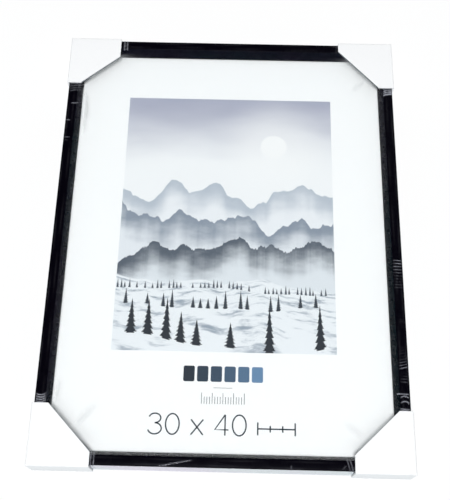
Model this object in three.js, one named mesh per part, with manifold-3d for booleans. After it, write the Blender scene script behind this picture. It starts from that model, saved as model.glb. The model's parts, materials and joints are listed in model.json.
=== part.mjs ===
// Poster frame for a 300 x 400 mm sheet, lying face up on the four folded card corners that guard it.
// Four mitred rails hold glazing, a printed insert and a hardboard back. Riveted turn clips lock the
// back into a groove in the rails, and two strap hangers carry the frame on a wall either way up. Clear
// shrink film lies over the front, under the card corners.
// Millimetres. +Z is up, out of the glazing, and +Y is towards the head of the picture. The origin
// is on the table, under the middle of the frame.
import * as THREE from "three";
import { mergeVertices } from "three/addons/utils/BufferGeometryUtils.js";
import Module from "manifold-3d";

const wasm = await Module();
wasm.setup();

// Sheets held in the frame
const SHEET_WIDTH = 300;
const SHEET_HEIGHT = 400;
const GLAZING_THICKNESS = 2;
const INSERT_THICKNESS = 0.3;
const BOARD_THICKNESS = 3;
const STACK_GAP = 0.1;
const SHEET_CLEARANCE = 1;

// Rail moulding
const RAIL_DEPTH = 24;
const RAIL_WALL = 6.5;
const LIP_OVERLAP = 5;
const LIP_HEIGHT = 9.5;
const LIP_EDGE = 1.5;
const SLOPE_WIDTH = 4;
const FRONT_ROUND = 0.8;
const BACK_CHAMFER = 0.4;
const MITRE_GAP = 0.1;
const ROUND_STEPS = 4;

// Groove in the rails that the turn clips reach into
const GROOVE_DEPTH = 2.5;
const GROOVE_CLEARANCE = 0.4;

// Corner wedge driven across each mitre from behind
const WEDGE_THICKNESS = 0.6;
const WEDGE_SPREAD = 3.1;
const WEDGE_DROP = 1.9;
const WEDGE_HEIGHT = 6;
const WEDGE_SINK = 0.3;
const WEDGE_CLEARANCE = 0.1;
const WEDGE_INNER_APEX = 1.6;

// Folded card corners
const CARD_THICKNESS = 1.5;
const CARD_GAP = 0.5;
const CARD_LEG = 50;
const CARD_SHOULDER = 11.3;
const CARD_FOLD_RADIUS = 1.5;
const CARD_SLIT = 0.5;

// How each card corner, cut by hand, departs from that leg and shoulder along the frame's short and long
// sides. The shoulder is how far in from the rail's outer face the front flap's slanting cut starts.
const CARD_TRIMS = {
  bottom_left: { short: { leg: 0, shoulder: -0.6 }, long: { leg: 0, shoulder: 1 } },
  bottom_right: { short: { leg: -1.8, shoulder: 1.8 }, long: { leg: 0, shoulder: -1.3 } },
  top_right: { short: { leg: 1.3, shoulder: -2.8 }, long: { leg: -0.7, shoulder: 2.2 } },
  top_left: { short: { leg: -2.2, shoulder: 8.3 }, long: { leg: 0, shoulder: 0.7 } },
};

// Shrink film over the front, drawn flat and thicker than the real film
const FILM_THICKNESS = 0.1;
const FILM_GAP = 0.1;

// Turn clips
const CLIP_THICKNESS = 0.8;
const CLIP_WIDTH = 8;
const CLIP_BITE = 2;
const CLIP_PIVOT_INSET = 11;
const CLIP_TAIL = 5;
const CLIP_THUMB_LENGTH = 3.2;
const CLIP_THUMB_ANGLE = 55;
const CLIP_TAIL_ROUND = 2;
const CLIP_BEAD_WIDTH = 3;
const CLIP_BEAD_HEIGHT = 0.5;
const CLIP_BEAD_LENGTH = 3;
const CLIP_SPACING_SHORT = 140;
const CLIP_SPACING_LONG = 220;

// Rivets that carry the clips and hangers
const RIVET_SHANK_RADIUS = 1.5;
const RIVET_HEAD_RADIUS = 3.2;
const RIVET_HEAD_HEIGHT = 1.1;
const RIVET_HEAD_EDGE = 0.22;
const RIVET_ROLL_RADIUS = 1.5;
const RIVET_ROLL_DEPTH = 0.33;
const RIVET_BROW_RADIUS = 2.4;
const RIVET_BORE_RADIUS = 0.9;
const RIVET_BORE_DEPTH = 2;
const RIVET_FOOT_RADIUS = 3;
const RIVET_FOOT_THICKNESS = 0.45;
const RIVET_GAP = 0.1;
const RIVET_HOLE_CLEARANCE = 0.2;
const FOOT_RECESS_CLEARANCE = 0.3;

// Strap hangers with their D-shaped wire rings
const STRAP_THICKNESS = 0.7;
const STRAP_WIDTH = 9;
const STRAP_LENGTH = 17;
const STRAP_SPLIT = 0.2;
const STRAP_RIVET_FROM_EYE = 11;
const STRAP_EYE_WRAP = 266.4;
const RING_WIRE_RADIUS = 1;
const RING_EYE_CLEARANCE = 0.2;
const RING_HALF_WIDTH = 8;
const RING_SIDE = 3;
const RING_CORNER = 2;
const RING_JOINT_GAP = 0.3;
const RING_TABLE_GAP = 0.3;
const HANGER_INSET = 45;

// Smoothness of round forms
const HOLE_SEGMENTS = 16;
const WIRE_SIDES = 8;
const RING_STEPS = 44;
const EYE_STEPS = 12;
const CLIP_END_STEPS = 10;
const BEAD_STEPS = 6;

// How far cutting tools run past what they cut
const OVERRUN = 1;

// Levels and outlines that follow from the sizes above
const RAIL_BACK = CARD_THICKNESS + CARD_GAP;
const RAIL_FRONT = RAIL_BACK + RAIL_DEPTH;
const LIP_BACK = RAIL_FRONT - LIP_HEIGHT;
const GLAZING_BACK = LIP_BACK - STACK_GAP - GLAZING_THICKNESS;
const INSERT_BACK = GLAZING_BACK - STACK_GAP - INSERT_THICKNESS;
const BOARD_FRONT = INSERT_BACK - STACK_GAP;
const BOARD_BACK = BOARD_FRONT - BOARD_THICKNESS;
const FITTING_TOP = BOARD_BACK - STACK_GAP;
const CLIP_UNDERSIDE = FITTING_TOP - CLIP_THICKNESS;
const RABBET = LIP_OVERLAP + SHEET_CLEARANCE;
const RAIL_WIDTH = RABBET + RAIL_WALL;
const HALF_OPENING_X = SHEET_WIDTH / 2 - LIP_OVERLAP;
const HALF_OPENING_Y = SHEET_HEIGHT / 2 - LIP_OVERLAP;
const HALF_OUTER_X = HALF_OPENING_X + RAIL_WIDTH;
const HALF_OUTER_Y = HALF_OPENING_Y + RAIL_WIDTH;
const EYE_INNER = RING_WIRE_RADIUS + RING_EYE_CLEARANCE;
const EYE_MIDDLE = EYE_INNER + STRAP_THICKNESS / 2;
const EYE_AXIS = FITTING_TOP - EYE_INNER - STRAP_THICKNESS;
const STRAP_UNDERSIDE = FITTING_TOP - 2 * STRAP_THICKNESS - STRAP_SPLIT;
const RING_REACH = RING_SIDE + RING_HALF_WIDTH;
const RING_DROOP = Math.asin((EYE_AXIS - RING_WIRE_RADIUS - RING_TABLE_GAP) / RING_REACH);

const degrees = THREE.MathUtils.degToRad;

// Each corner of the frame: the sign of its x and y, and the turn that points +X and +Y inwards there.
const CORNERS = [
  { name: "bottom_left", x: -1, y: -1, turn: 0 },
  { name: "bottom_right", x: 1, y: -1, turn: 90 },
  { name: "top_right", x: 1, y: 1, turn: 180 },
  { name: "top_left", x: -1, y: 1, turn: 270 },
];

const finish = (color, roughness, metalness = 0, more = {}) =>
  new THREE.MeshStandardMaterial({ color, roughness, metalness, ...more });

const BLACK_FOIL = finish(0x0b0a0f, 0.38);
const CLEAR_GLASS = finish(0xf2fbfb, 0.05, 0, { transparent: true, opacity: 0.2 });
const PRINTED_PAPER = finish(0xf5f8fa, 0.75);
const HARDBOARD = finish(0x7d5a3c, 0.85);
const WHITE_CARD = finish(0xf7f7f7, 0.8);
const CLEAR_FILM = finish(0xfafcff, 0.1, 0, { transparent: true, opacity: 0.12 });
const ZINC_STEEL = finish(0xb9bcc0, 0.35, 0.9);
const WEDGE_STEEL = finish(0x8d9094, 0.45, 0.9);

/** A closed geometry as a solid that can be joined and cut. */
function solidOf(geometry) {
  const bare = geometry.index ? geometry.toNonIndexed() : geometry.clone();
  bare.deleteAttribute("normal");
  bare.deleteAttribute("uv");
  const merged = mergeVertices(bare, 1e-4);
  return new wasm.Manifold(
    new wasm.Mesh({
      numProp: 3,
      vertProperties: new Float32Array(merged.attributes.position.array),
      triVerts: new Uint32Array(merged.index.array),
    }),
  );
}

/** A solid as a flat-shaded geometry. */
function geometryOf(solid) {
  const mesh = solid.getMesh();
  const indexed = new THREE.BufferGeometry();
  indexed.setAttribute("position", new THREE.BufferAttribute(mesh.vertProperties, 3));
  indexed.setIndex(new THREE.BufferAttribute(mesh.triVerts, 1));
  const flat = indexed.toNonIndexed();
  flat.computeVertexNormals();
  return flat;
}

function mesh(name, geometry, material) {
  const made = new THREE.Mesh(geometry, material);
  made.name = name;
  return made;
}

const outline = (points) => new THREE.Shape(points.map(([x, y]) => new THREE.Vector2(x, y)));

/** A straight prism of an outline in X and Y, from one height to another. */
const prism = (shape, low, high) =>
  new THREE.ExtrudeGeometry(shape, { depth: high - low, bevelEnabled: false }).translate(0, 0, low);

/** A prism of an outline drawn in Y and Z, centred on X. */
function crossPrism(shape, width) {
  const made = new THREE.ExtrudeGeometry(shape, { depth: width, bevelEnabled: false });
  return made.translate(0, 0, -width / 2).rotateX(Math.PI / 2).rotateZ(Math.PI / 2);
}

/** A body of revolution about Z, from points of radius and height that start and end on the axis. */
const revolve = (points) =>
  new THREE.LatheGeometry(
    points.map(([r, z]) => new THREE.Vector2(r, z)),
    HOLE_SEGMENTS,
  ).rotateX(Math.PI / 2);

/** A round bar along Z, for cutting holes. */
const bar = (radius, low, high) =>
  revolve([
    [0, low],
    [radius, low],
    [radius, high],
    [0, high],
  ]);

/** A strip of sheet metal seen edge on: its middle line given a thickness. */
function band(line, thickness) {
  const side = (sign) =>
    line.map((p, i) => {
      const before = line[Math.max(i - 1, 0)];
      const after = line[Math.min(i + 1, line.length - 1)];
      const along = new THREE.Vector2().subVectors(after, before).normalize();
      return new THREE.Vector2(
        p.x - (along.y * sign * thickness) / 2,
        p.y + (along.x * sign * thickness) / 2,
      );
    });
  return new THREE.Shape([...side(-1), ...side(1).reverse()]);
}

/** Section of the moulding: x is the distance out from the sight edge, y the height above its back. */
function railSection() {
  const slope = new THREE.Vector2(SLOPE_WIDTH, LIP_HEIGHT - LIP_EDGE).normalize();
  const grooveTop = BOARD_BACK - STACK_GAP + GROOVE_CLEARANCE - RAIL_BACK;
  const grooveBottom = CLIP_UNDERSIDE - GROOVE_CLEARANCE - RAIL_BACK;
  const lip = RAIL_DEPTH - LIP_HEIGHT;
  const shape = new THREE.Shape();
  shape.moveTo(0, lip);
  shape.lineTo(RABBET, lip);
  shape.lineTo(RABBET, grooveTop);
  shape.lineTo(RABBET + GROOVE_DEPTH, grooveTop);
  shape.lineTo(RABBET + GROOVE_DEPTH, grooveBottom);
  shape.lineTo(RABBET, grooveBottom);
  shape.lineTo(RABBET, BACK_CHAMFER);
  shape.lineTo(RABBET + BACK_CHAMFER, 0);
  shape.lineTo(RAIL_WIDTH - BACK_CHAMFER, 0);
  shape.lineTo(RAIL_WIDTH, BACK_CHAMFER);
  shape.lineTo(RAIL_WIDTH, RAIL_DEPTH - FRONT_ROUND);
  shape.absarc(RAIL_WIDTH - FRONT_ROUND, RAIL_DEPTH - FRONT_ROUND, FRONT_ROUND, 0, Math.PI / 2, false);
  shape.lineTo(SLOPE_WIDTH + FRONT_ROUND / 2, RAIL_DEPTH);
  shape.quadraticCurveTo(
    SLOPE_WIDTH,
    RAIL_DEPTH,
    SLOPE_WIDTH - slope.x * FRONT_ROUND,
    RAIL_DEPTH - slope.y * FRONT_ROUND,
  );
  shape.lineTo(0, lip + LIP_EDGE);
  shape.closePath();
  return shape;
}

/** The V of sheet steel that joins a mitre, in a corner's frame: both legs run inwards from the corner. */
function wedge(grow, low, high) {
  const middle = RAIL_WALL / 2;
  const diagonal = Math.SQRT1_2;
  const at = (alongMitre, across) => [
    middle + (alongMitre - across) * diagonal,
    middle + (alongMitre + across) * diagonal,
  ];
  const half = WEDGE_THICKNESS / 2 + grow;
  const spread = WEDGE_SPREAD + grow;
  const apex = -WEDGE_DROP / 2;
  return prism(
    outline([
      at(apex - half, 0),
      at(apex + WEDGE_DROP - half, spread),
      at(apex + WEDGE_DROP + half, spread),
      at(apex + half * WEDGE_INNER_APEX, 0),
      at(apex + WEDGE_DROP + half, -spread),
      at(apex + WEDGE_DROP - half, -spread),
    ]),
    low,
    high,
  );
}

/** A rail along X with its mitred ends, sight edge towards -Y, slotted for the corner wedges. */
function rail(halfOpeningAlong, halfOpeningAcross) {
  const made = new THREE.ExtrudeGeometry(railSection(), {
    depth: 1,
    bevelEnabled: false,
    curveSegments: ROUND_STEPS,
  });
  const p = made.attributes.position;
  for (let i = 0; i < p.count; i += 1) {
    const out = p.getX(i);
    const height = p.getY(i);
    const end = p.getZ(i) > 0.5 ? 1 : -1;
    const reach = halfOpeningAlong + out - MITRE_GAP / 2;
    p.setXYZ(i, end * reach, halfOpeningAcross + out, RAIL_BACK + height);
  }
  const outerAlong = halfOpeningAlong + RAIL_WIDTH;
  const outerAcross = halfOpeningAcross + RAIL_WIDTH;
  const top = RAIL_BACK + WEDGE_SINK + WEDGE_HEIGHT + WEDGE_CLEARANCE;
  const slot = () => wedge(WEDGE_CLEARANCE, RAIL_BACK - OVERRUN, top);
  const right = solidOf(slot().rotateZ(Math.PI).translate(outerAlong, outerAcross, 0));
  const left = solidOf(slot().rotateZ(-Math.PI / 2).translate(-outerAlong, outerAcross, 0));
  return geometryOf(solidOf(made).subtract(right).subtract(left));
}

function rails() {
  const group = new THREE.Group();
  const sides = [
    { name: "top_rail", along: HALF_OPENING_X, across: HALF_OPENING_Y, turn: 0 },
    { name: "left_rail", along: HALF_OPENING_Y, across: HALF_OPENING_X, turn: 90 },
    { name: "bottom_rail", along: HALF_OPENING_X, across: HALF_OPENING_Y, turn: 180 },
    { name: "right_rail", along: HALF_OPENING_Y, across: HALF_OPENING_X, turn: 270 },
  ];
  for (const { name, along, across, turn } of sides) {
    const made = mesh(name, rail(along, across), BLACK_FOIL);
    made.rotation.z = degrees(turn);
    group.add(made);
  }
  return group;
}

/** Puts a piece that is drawn in a corner's frame at one of the four corners. */
function atCorner(made, { x, y, turn }) {
  made.position.set(x * HALF_OUTER_X, y * HALF_OUTER_Y, 0);
  made.rotation.z = degrees(turn);
  return made;
}

function cornerWedges() {
  const group = new THREE.Group();
  const low = RAIL_BACK + WEDGE_SINK;
  for (const corner of CORNERS) {
    const made = mesh("corner_wedge_" + corner.name, wedge(0, low, low + WEDGE_HEIGHT), WEDGE_STEEL);
    group.add(atCorner(made, corner));
  }
  return group;
}

/**
 * A card corner: one blank folded round the rails, its two back flaps meeting on the mitre. Its first leg
 * runs along X and its second along Y, each with its own length and shoulder.
 */
function cardCorner(first, second) {
  const skin = CARD_GAP + CARD_THICKNESS;
  const top = RAIL_FRONT + skin;
  const reach = CARD_LEG + CARD_SHOULDER;
  const folded = () => {
    const fold = CARD_FOLD_RADIUS;
    const section = new THREE.Shape();
    section.moveTo(reach, 0);
    section.lineTo(reach, top);
    section.lineTo(fold - skin, top);
    section.absarc(fold - skin, top - fold, fold, Math.PI / 2, Math.PI, false);
    section.absarc(fold - skin, fold, fold, Math.PI, Math.PI * 1.5, false);
    const made = new THREE.ExtrudeGeometry(section, {
      depth: 2 * reach,
      bevelEnabled: false,
      curveSegments: ROUND_STEPS,
    });
    return made.translate(0, 0, -reach).rotateX(Math.PI / 2);
  };
  const plan = (edge, one, other) =>
    outline([
      [edge, edge],
      [one.leg, edge],
      [one.leg, one.shoulder],
      [other.shoulder, other.leg],
      [edge, other.leg],
    ]);
  const outer = solidOf(folded())
    .intersect(solidOf(folded().rotateZ(Math.PI / 2)))
    .intersect(solidOf(prism(plan(-skin, first, second), 0, top)));
  const beyond = { leg: 2 * reach, shoulder: reach };
  const hollow = prism(plan(-CARD_GAP, beyond, beyond), CARD_THICKNESS, top - CARD_THICKNESS);
  const slitHalf = CARD_SLIT * Math.SQRT1_2;
  const slit = prism(
    outline([
      [-skin - slitHalf, -skin],
      [-skin, -skin - slitHalf],
      [reach, reach - slitHalf],
      [reach - slitHalf, reach],
    ]),
    -OVERRUN,
    top - CARD_THICKNESS,
  );
  return geometryOf(outer.subtract(solidOf(hollow)).subtract(solidOf(slit)));
}

function cardCorners() {
  const group = new THREE.Group();
  const cut = (trim) => ({ leg: CARD_LEG + trim.leg, shoulder: CARD_SHOULDER + trim.shoulder });
  for (const corner of CORNERS) {
    const { short, long } = CARD_TRIMS[corner.name];
    const shortFirst = corner.x === corner.y;
    const shape = shortFirst ? cardCorner(cut(short), cut(long)) : cardCorner(cut(long), cut(short));
    group.add(atCorner(mesh("card_corner_" + corner.name, shape, WHITE_CARD), corner));
  }
  return group;
}

/** The shrink film's front: one taut sheet on the rails' flat faces, across the opening. */
function shrinkFilm() {
  const low = RAIL_FRONT + FILM_GAP;
  const width = 2 * (HALF_OUTER_X - FRONT_ROUND);
  const height = 2 * (HALF_OUTER_Y - FRONT_ROUND);
  const made = new THREE.BoxGeometry(width, height, FILM_THICKNESS);
  return mesh("shrink_film", made.translate(0, 0, low + FILM_THICKNESS / 2), CLEAR_FILM);
}

/** A hollow rivet about Z: domed head below the fitting it carries, flat foot sunk into the board's face. */
function rivet(fittingUnderside) {
  const seat = fittingUnderside - RIVET_GAP;
  const crown = seat - RIVET_HEAD_HEIGHT;
  const footTop = BOARD_FRONT - RIVET_GAP / 2;
  const footBottom = footTop - RIVET_FOOT_THICKNESS;
  return revolve([
    [0, crown + RIVET_BORE_DEPTH],
    [RIVET_BORE_RADIUS, crown + RIVET_BORE_DEPTH],
    [RIVET_BORE_RADIUS, crown + RIVET_ROLL_DEPTH],
    [RIVET_ROLL_RADIUS, crown],
    [RIVET_BROW_RADIUS, crown + RIVET_ROLL_DEPTH],
    [RIVET_HEAD_RADIUS, seat - RIVET_HEAD_EDGE],
    [RIVET_HEAD_RADIUS, seat],
    [RIVET_SHANK_RADIUS, seat],
    [RIVET_SHANK_RADIUS, footBottom],
    [RIVET_FOOT_RADIUS, footBottom],
    [RIVET_FOOT_RADIUS, footTop],
    [0, footTop],
  ]);
}

/** The round-ended punch that presses a clip's stiffening bead, standing proud of the strip by its height. */
function clipBead() {
  const halfChord = CLIP_BEAD_WIDTH / 2;
  const radius = (halfChord ** 2 + CLIP_BEAD_HEIGHT ** 2) / (2 * CLIP_BEAD_HEIGHT);
  const start = RIVET_HEAD_RADIUS + CLIP_BEAD_WIDTH;
  const punch = new THREE.CapsuleGeometry(radius, CLIP_BEAD_LENGTH, BEAD_STEPS, 4 * BEAD_STEPS);
  punch.rotateZ(Math.PI / 2);
  return solidOf(
    punch.translate(start + CLIP_BEAD_LENGTH / 2, 0, CLIP_UNDERSIDE - CLIP_BEAD_HEIGHT + radius),
  );
}

/** A turn clip with its pivot on Z and its tip along +X: a pressed strip with a bead and a thumb lip. */
function turnClip() {
  const tip = CLIP_PIVOT_INSET + CLIP_BITE;
  const half = CLIP_WIDTH / 2;
  const lean = degrees(CLIP_THUMB_ANGLE);
  const middle = CLIP_UNDERSIDE + CLIP_THICKNESS / 2;
  const tail = [
    new THREE.Vector2(tip, middle),
    new THREE.Vector2(-CLIP_TAIL, middle),
    new THREE.Vector2(
      -CLIP_TAIL - CLIP_THUMB_LENGTH * Math.cos(lean),
      middle - CLIP_THUMB_LENGTH * Math.sin(lean),
    ),
  ];
  const strip = solidOf(crossPrism(band(tail, CLIP_THICKNESS), CLIP_WIDTH).rotateZ(-Math.PI / 2));
  const plan = new THREE.Shape();
  const end = -CLIP_TAIL - CLIP_THUMB_LENGTH - CLIP_THICKNESS;
  plan.moveTo(end + CLIP_TAIL_ROUND, -half);
  plan.lineTo(tip - half, -half);
  plan.absarc(tip - half, 0, half, -Math.PI / 2, Math.PI / 2, false);
  plan.lineTo(end + CLIP_TAIL_ROUND, half);
  plan.lineTo(end, half - CLIP_TAIL_ROUND);
  plan.lineTo(end, CLIP_TAIL_ROUND - half);
  const trimmed = strip.intersect(
    solidOf(
      new THREE.ExtrudeGeometry(plan, {
        depth: RAIL_DEPTH,
        bevelEnabled: false,
        curveSegments: CLIP_END_STEPS,
      }),
    ),
  );
  const hole = bar(RIVET_SHANK_RADIUS + RIVET_HOLE_CLEARANCE, 0, RAIL_DEPTH);
  const proud = clipBead().intersect(solidOf(prism(plan, 0, CLIP_UNDERSIDE + CLIP_THICKNESS / 2)));
  const hollow = clipBead().translate([0, 0, CLIP_THICKNESS]);
  return geometryOf(trimmed.add(proud).subtract(hollow).subtract(solidOf(hole)));
}

/** Where each turn clip pivots on the board, and the turn that points its tip at the rail. */
function clipPlaces() {
  const acrossX = HALF_OPENING_X + RABBET - CLIP_PIVOT_INSET;
  const acrossY = HALF_OPENING_Y + RABBET - CLIP_PIVOT_INSET;
  const short = CLIP_SPACING_SHORT / 2;
  const long = CLIP_SPACING_LONG / 2;
  return [
    { name: "top_left", x: -short, y: acrossY, turn: 90 },
    { name: "top_right", x: short, y: acrossY, turn: 90 },
    { name: "left_upper", x: -acrossX, y: long, turn: 180 },
    { name: "left_lower", x: -acrossX, y: -long, turn: 180 },
    { name: "bottom_left", x: -short, y: -acrossY, turn: 270 },
    { name: "bottom_right", x: short, y: -acrossY, turn: 270 },
    { name: "right_upper", x: acrossX, y: long, turn: 0 },
    { name: "right_lower", x: acrossX, y: -long, turn: 0 },
  ];
}

/** Where each hanger's eye lies on the board, and the turn that points its ring at the nearest rail. */
function hangerPlaces() {
  return [
    { name: "portrait", x: 0, y: SHEET_HEIGHT / 2 - HANGER_INSET, turn: 90 },
    { name: "landscape", x: SHEET_WIDTH / 2 - HANGER_INSET, y: 0, turn: 0 },
  ];
}

/** Where a hanger's rivet goes through the board. */
function hangerRivetPlace({ x, y, turn }) {
  const back = degrees(turn);
  return {
    x: x - STRAP_RIVET_FROM_EYE * Math.cos(back),
    y: y - STRAP_RIVET_FROM_EYE * Math.sin(back),
  };
}

function turnClips() {
  const group = new THREE.Group();
  const clip = turnClip();
  const pin = rivet(CLIP_UNDERSIDE);
  for (const { name, x, y, turn } of clipPlaces()) {
    const turned = mesh("turn_clip_" + name, clip, ZINC_STEEL);
    turned.position.set(x, y, 0);
    turned.rotation.z = degrees(turn);
    const fixed = mesh("clip_rivet_" + name, pin, ZINC_STEEL);
    fixed.position.set(x, y, 0);
    group.add(turned, fixed);
  }
  return group;
}

/** A strap hanger with its eye on Y and its tongue along -X: one strip folded round the ring's wire. */
function hangerStrap() {
  const upper = FITTING_TOP - STRAP_THICKNESS / 2;
  const lower = upper - STRAP_THICKNESS - STRAP_SPLIT;
  const wrapEnd = degrees(90 - STRAP_EYE_WRAP);
  const eye = new THREE.EllipseCurve(0, EYE_AXIS, EYE_MIDDLE, EYE_MIDDLE, Math.PI / 2, wrapEnd, true);
  const line = [
    new THREE.Vector2(-STRAP_LENGTH, upper),
    ...eye.getPoints(EYE_STEPS),
    new THREE.Vector2(-EYE_MIDDLE - STRAP_THICKNESS, lower),
    new THREE.Vector2(-STRAP_LENGTH, lower),
  ];
  const strip = solidOf(crossPrism(band(line, STRAP_THICKNESS), STRAP_WIDTH).rotateZ(-Math.PI / 2));
  const half = STRAP_WIDTH / 2;
  const plan = new THREE.Shape();
  plan.moveTo(2 * EYE_MIDDLE, -half);
  plan.lineTo(2 * EYE_MIDDLE, half);
  plan.lineTo(half - STRAP_LENGTH, half);
  plan.absarc(half - STRAP_LENGTH, 0, half, Math.PI / 2, Math.PI * 1.5, false);
  const trimmed = strip.intersect(
    solidOf(
      new THREE.ExtrudeGeometry(plan, {
        depth: RAIL_DEPTH,
        bevelEnabled: false,
        curveSegments: CLIP_END_STEPS,
      }),
    ),
  );
  const hole = bar(RIVET_SHANK_RADIUS + RIVET_HOLE_CLEARANCE, 0, RAIL_DEPTH).translate(
    -STRAP_RIVET_FROM_EYE,
    0,
    0,
  );
  return geometryOf(trimmed.subtract(solidOf(hole)));
}

/** The D-shaped wire ring, its straight side on Y and its bow along +X, ends meeting in the strap's eye. */
function hangerRing() {
  const side = RING_HALF_WIDTH;
  const path = new THREE.Path();
  path.moveTo(0, RING_JOINT_GAP / 2);
  path.lineTo(0, side - RING_CORNER);
  path.absarc(RING_CORNER, side - RING_CORNER, RING_CORNER, Math.PI, Math.PI / 2, true);
  path.lineTo(RING_SIDE, side);
  path.absarc(RING_SIDE, 0, side, Math.PI / 2, -Math.PI / 2, true);
  path.lineTo(RING_CORNER, -side);
  path.absarc(RING_CORNER, RING_CORNER - side, RING_CORNER, -Math.PI / 2, -Math.PI, true);
  path.lineTo(0, -RING_JOINT_GAP / 2);
  const points = path.getSpacedPoints(RING_STEPS * 2).map((p) => new THREE.Vector3(p.x, p.y, 0));
  const wire = outline(
    Array.from({ length: WIRE_SIDES }, (_, i) => {
      const angle = ((i + 0.5) / WIRE_SIDES) * 2 * Math.PI;
      return [RING_WIRE_RADIUS * Math.cos(angle), RING_WIRE_RADIUS * Math.sin(angle)];
    }),
  );
  return new THREE.ExtrudeGeometry(wire, {
    steps: RING_STEPS,
    extrudePath: new THREE.CatmullRomCurve3(points),
  });
}

function hangers() {
  const group = new THREE.Group();
  const strap = hangerStrap();
  const ring = hangerRing();
  const pin = rivet(STRAP_UNDERSIDE);
  for (const place of hangerPlaces()) {
    const hanger = new THREE.Group();
    hanger.position.set(place.x, place.y, 0);
    hanger.rotation.z = degrees(place.turn);
    const wire = mesh("hanger_ring_" + place.name, ring, ZINC_STEEL);
    wire.position.z = EYE_AXIS;
    wire.rotation.y = RING_DROOP;
    const fixed = mesh("hanger_rivet_" + place.name, pin, ZINC_STEEL);
    fixed.position.x = -STRAP_RIVET_FROM_EYE;
    hanger.add(mesh("hanger_strap_" + place.name, strap, ZINC_STEEL), wire, fixed);
    group.add(hanger);
  }
  return group;
}

/** A flat sheet of the frame's nominal size. */
function sheet(name, low, thickness, material) {
  const made = new THREE.BoxGeometry(SHEET_WIDTH, SHEET_HEIGHT, thickness);
  return mesh(name, made.translate(0, 0, low + thickness / 2), material);
}

/** The hardboard back, drilled for every rivet, with a recess in its face for each rivet's foot. */
function backingBoard() {
  const recess = RIVET_FOOT_THICKNESS + RIVET_GAP;
  const hole = RIVET_SHANK_RADIUS + RIVET_HOLE_CLEARANCE;
  const foot = RIVET_FOOT_RADIUS + FOOT_RECESS_CLEARANCE;
  const places = [...clipPlaces(), ...hangerPlaces().map(hangerRivetPlace)];
  let board = solidOf(
    new THREE.BoxGeometry(SHEET_WIDTH, SHEET_HEIGHT, BOARD_THICKNESS).translate(
      0,
      0,
      BOARD_BACK + BOARD_THICKNESS / 2,
    ),
  );
  for (const { x, y } of places) {
    const drilled = revolve([
      [0, BOARD_BACK - OVERRUN],
      [hole, BOARD_BACK - OVERRUN],
      [hole, BOARD_FRONT - recess],
      [foot, BOARD_FRONT - recess],
      [foot, BOARD_FRONT + OVERRUN],
      [0, BOARD_FRONT + OVERRUN],
    ]);
    board = board.subtract(solidOf(drilled.translate(x, y, 0)));
  }
  return mesh("backing_board", geometryOf(board), HARDBOARD);
}

const posterFrame = new THREE.Group();
posterFrame.add(
  rails(),
  cornerWedges(),
  sheet("glazing", GLAZING_BACK, GLAZING_THICKNESS, CLEAR_GLASS),
  sheet("printed_insert", INSERT_BACK, INSERT_THICKNESS, PRINTED_PAPER),
  backingBoard(),
  turnClips(),
  hangers(),
  cardCorners(),
  shrinkFilm(),
);

export default posterFrame;
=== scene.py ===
"""The looks of a poster frame that lies face up on the four folded card corners that guard it.

Black foil rails with clear film shrunk over them hold glazing, a printed insert and a hardboard back
with turn clips and strap hangers. Every length is in metres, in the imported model's frame: +Z is up, out
of the glazing, +Y is towards the head of the picture, and the table is at z = 0.
"""

import json
import logging
import math
from dataclasses import dataclass, field
from enum import Enum

import bmesh
import bpy
import numpy as np
from mathutils import Matrix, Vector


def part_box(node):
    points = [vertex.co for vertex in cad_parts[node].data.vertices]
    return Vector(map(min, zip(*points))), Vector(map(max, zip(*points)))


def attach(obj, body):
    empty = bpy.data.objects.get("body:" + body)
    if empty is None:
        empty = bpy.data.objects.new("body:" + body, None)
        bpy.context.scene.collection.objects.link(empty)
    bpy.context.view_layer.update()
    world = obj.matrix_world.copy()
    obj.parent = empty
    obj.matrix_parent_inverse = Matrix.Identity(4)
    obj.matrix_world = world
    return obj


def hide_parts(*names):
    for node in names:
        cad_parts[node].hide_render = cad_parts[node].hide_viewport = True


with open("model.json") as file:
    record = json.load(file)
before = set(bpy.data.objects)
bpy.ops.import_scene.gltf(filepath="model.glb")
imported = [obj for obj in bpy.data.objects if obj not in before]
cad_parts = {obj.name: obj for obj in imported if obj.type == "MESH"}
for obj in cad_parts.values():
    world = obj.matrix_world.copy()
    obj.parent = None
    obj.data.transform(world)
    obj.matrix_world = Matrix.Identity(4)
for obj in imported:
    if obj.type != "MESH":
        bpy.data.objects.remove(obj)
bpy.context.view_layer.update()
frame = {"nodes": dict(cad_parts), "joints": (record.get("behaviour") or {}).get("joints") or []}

LOG = logging.getLogger("poster_frame")
FIXED_BODY = "frame"
CORNERS = {"bottom_left": (-1, -1), "bottom_right": (1, -1), "top_right": (1, 1), "top_left": (-1, 1)}
MILLIMETRE = 0.001
NEAR = 0.01 * MILLIMETRE
WELD = 1e-7
PACKED_WELD = 1e-6
PAPER_SPECULAR = 0.35
FLAT_ANGLE = math.radians(1)
ROUND_ANGLE = math.radians(34)
EDGE_ANGLE = math.radians(40)
CRISP_ANGLE = math.radians(50)

Colour = tuple[float, float, float]
Socket = bpy.types.NodeSocket
Value = float | Colour | Socket


class Side(Enum):
    """The four rails, each with the direction that points out of the frame across it."""

    TOP = (0, 1)
    LEFT = (-1, 0)
    BOTTOM = (0, -1)
    RIGHT = (1, 0)

    @property
    def node(self) -> str:
        """The name of this side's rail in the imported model."""
        return f"{self.name.lower()}_rail"

    @property
    def horizontal(self) -> bool:
        """Whether the rail lies along X."""
        return self.value[0] == 0

    @property
    def turn(self) -> np.ndarray:
        """Turns the top rail's own axes, along, out and up, into the frame's."""
        x, y = self.value
        return np.array([[y, x, 0], [-x, y, 0], [0, 0, 1]], float)


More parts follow.
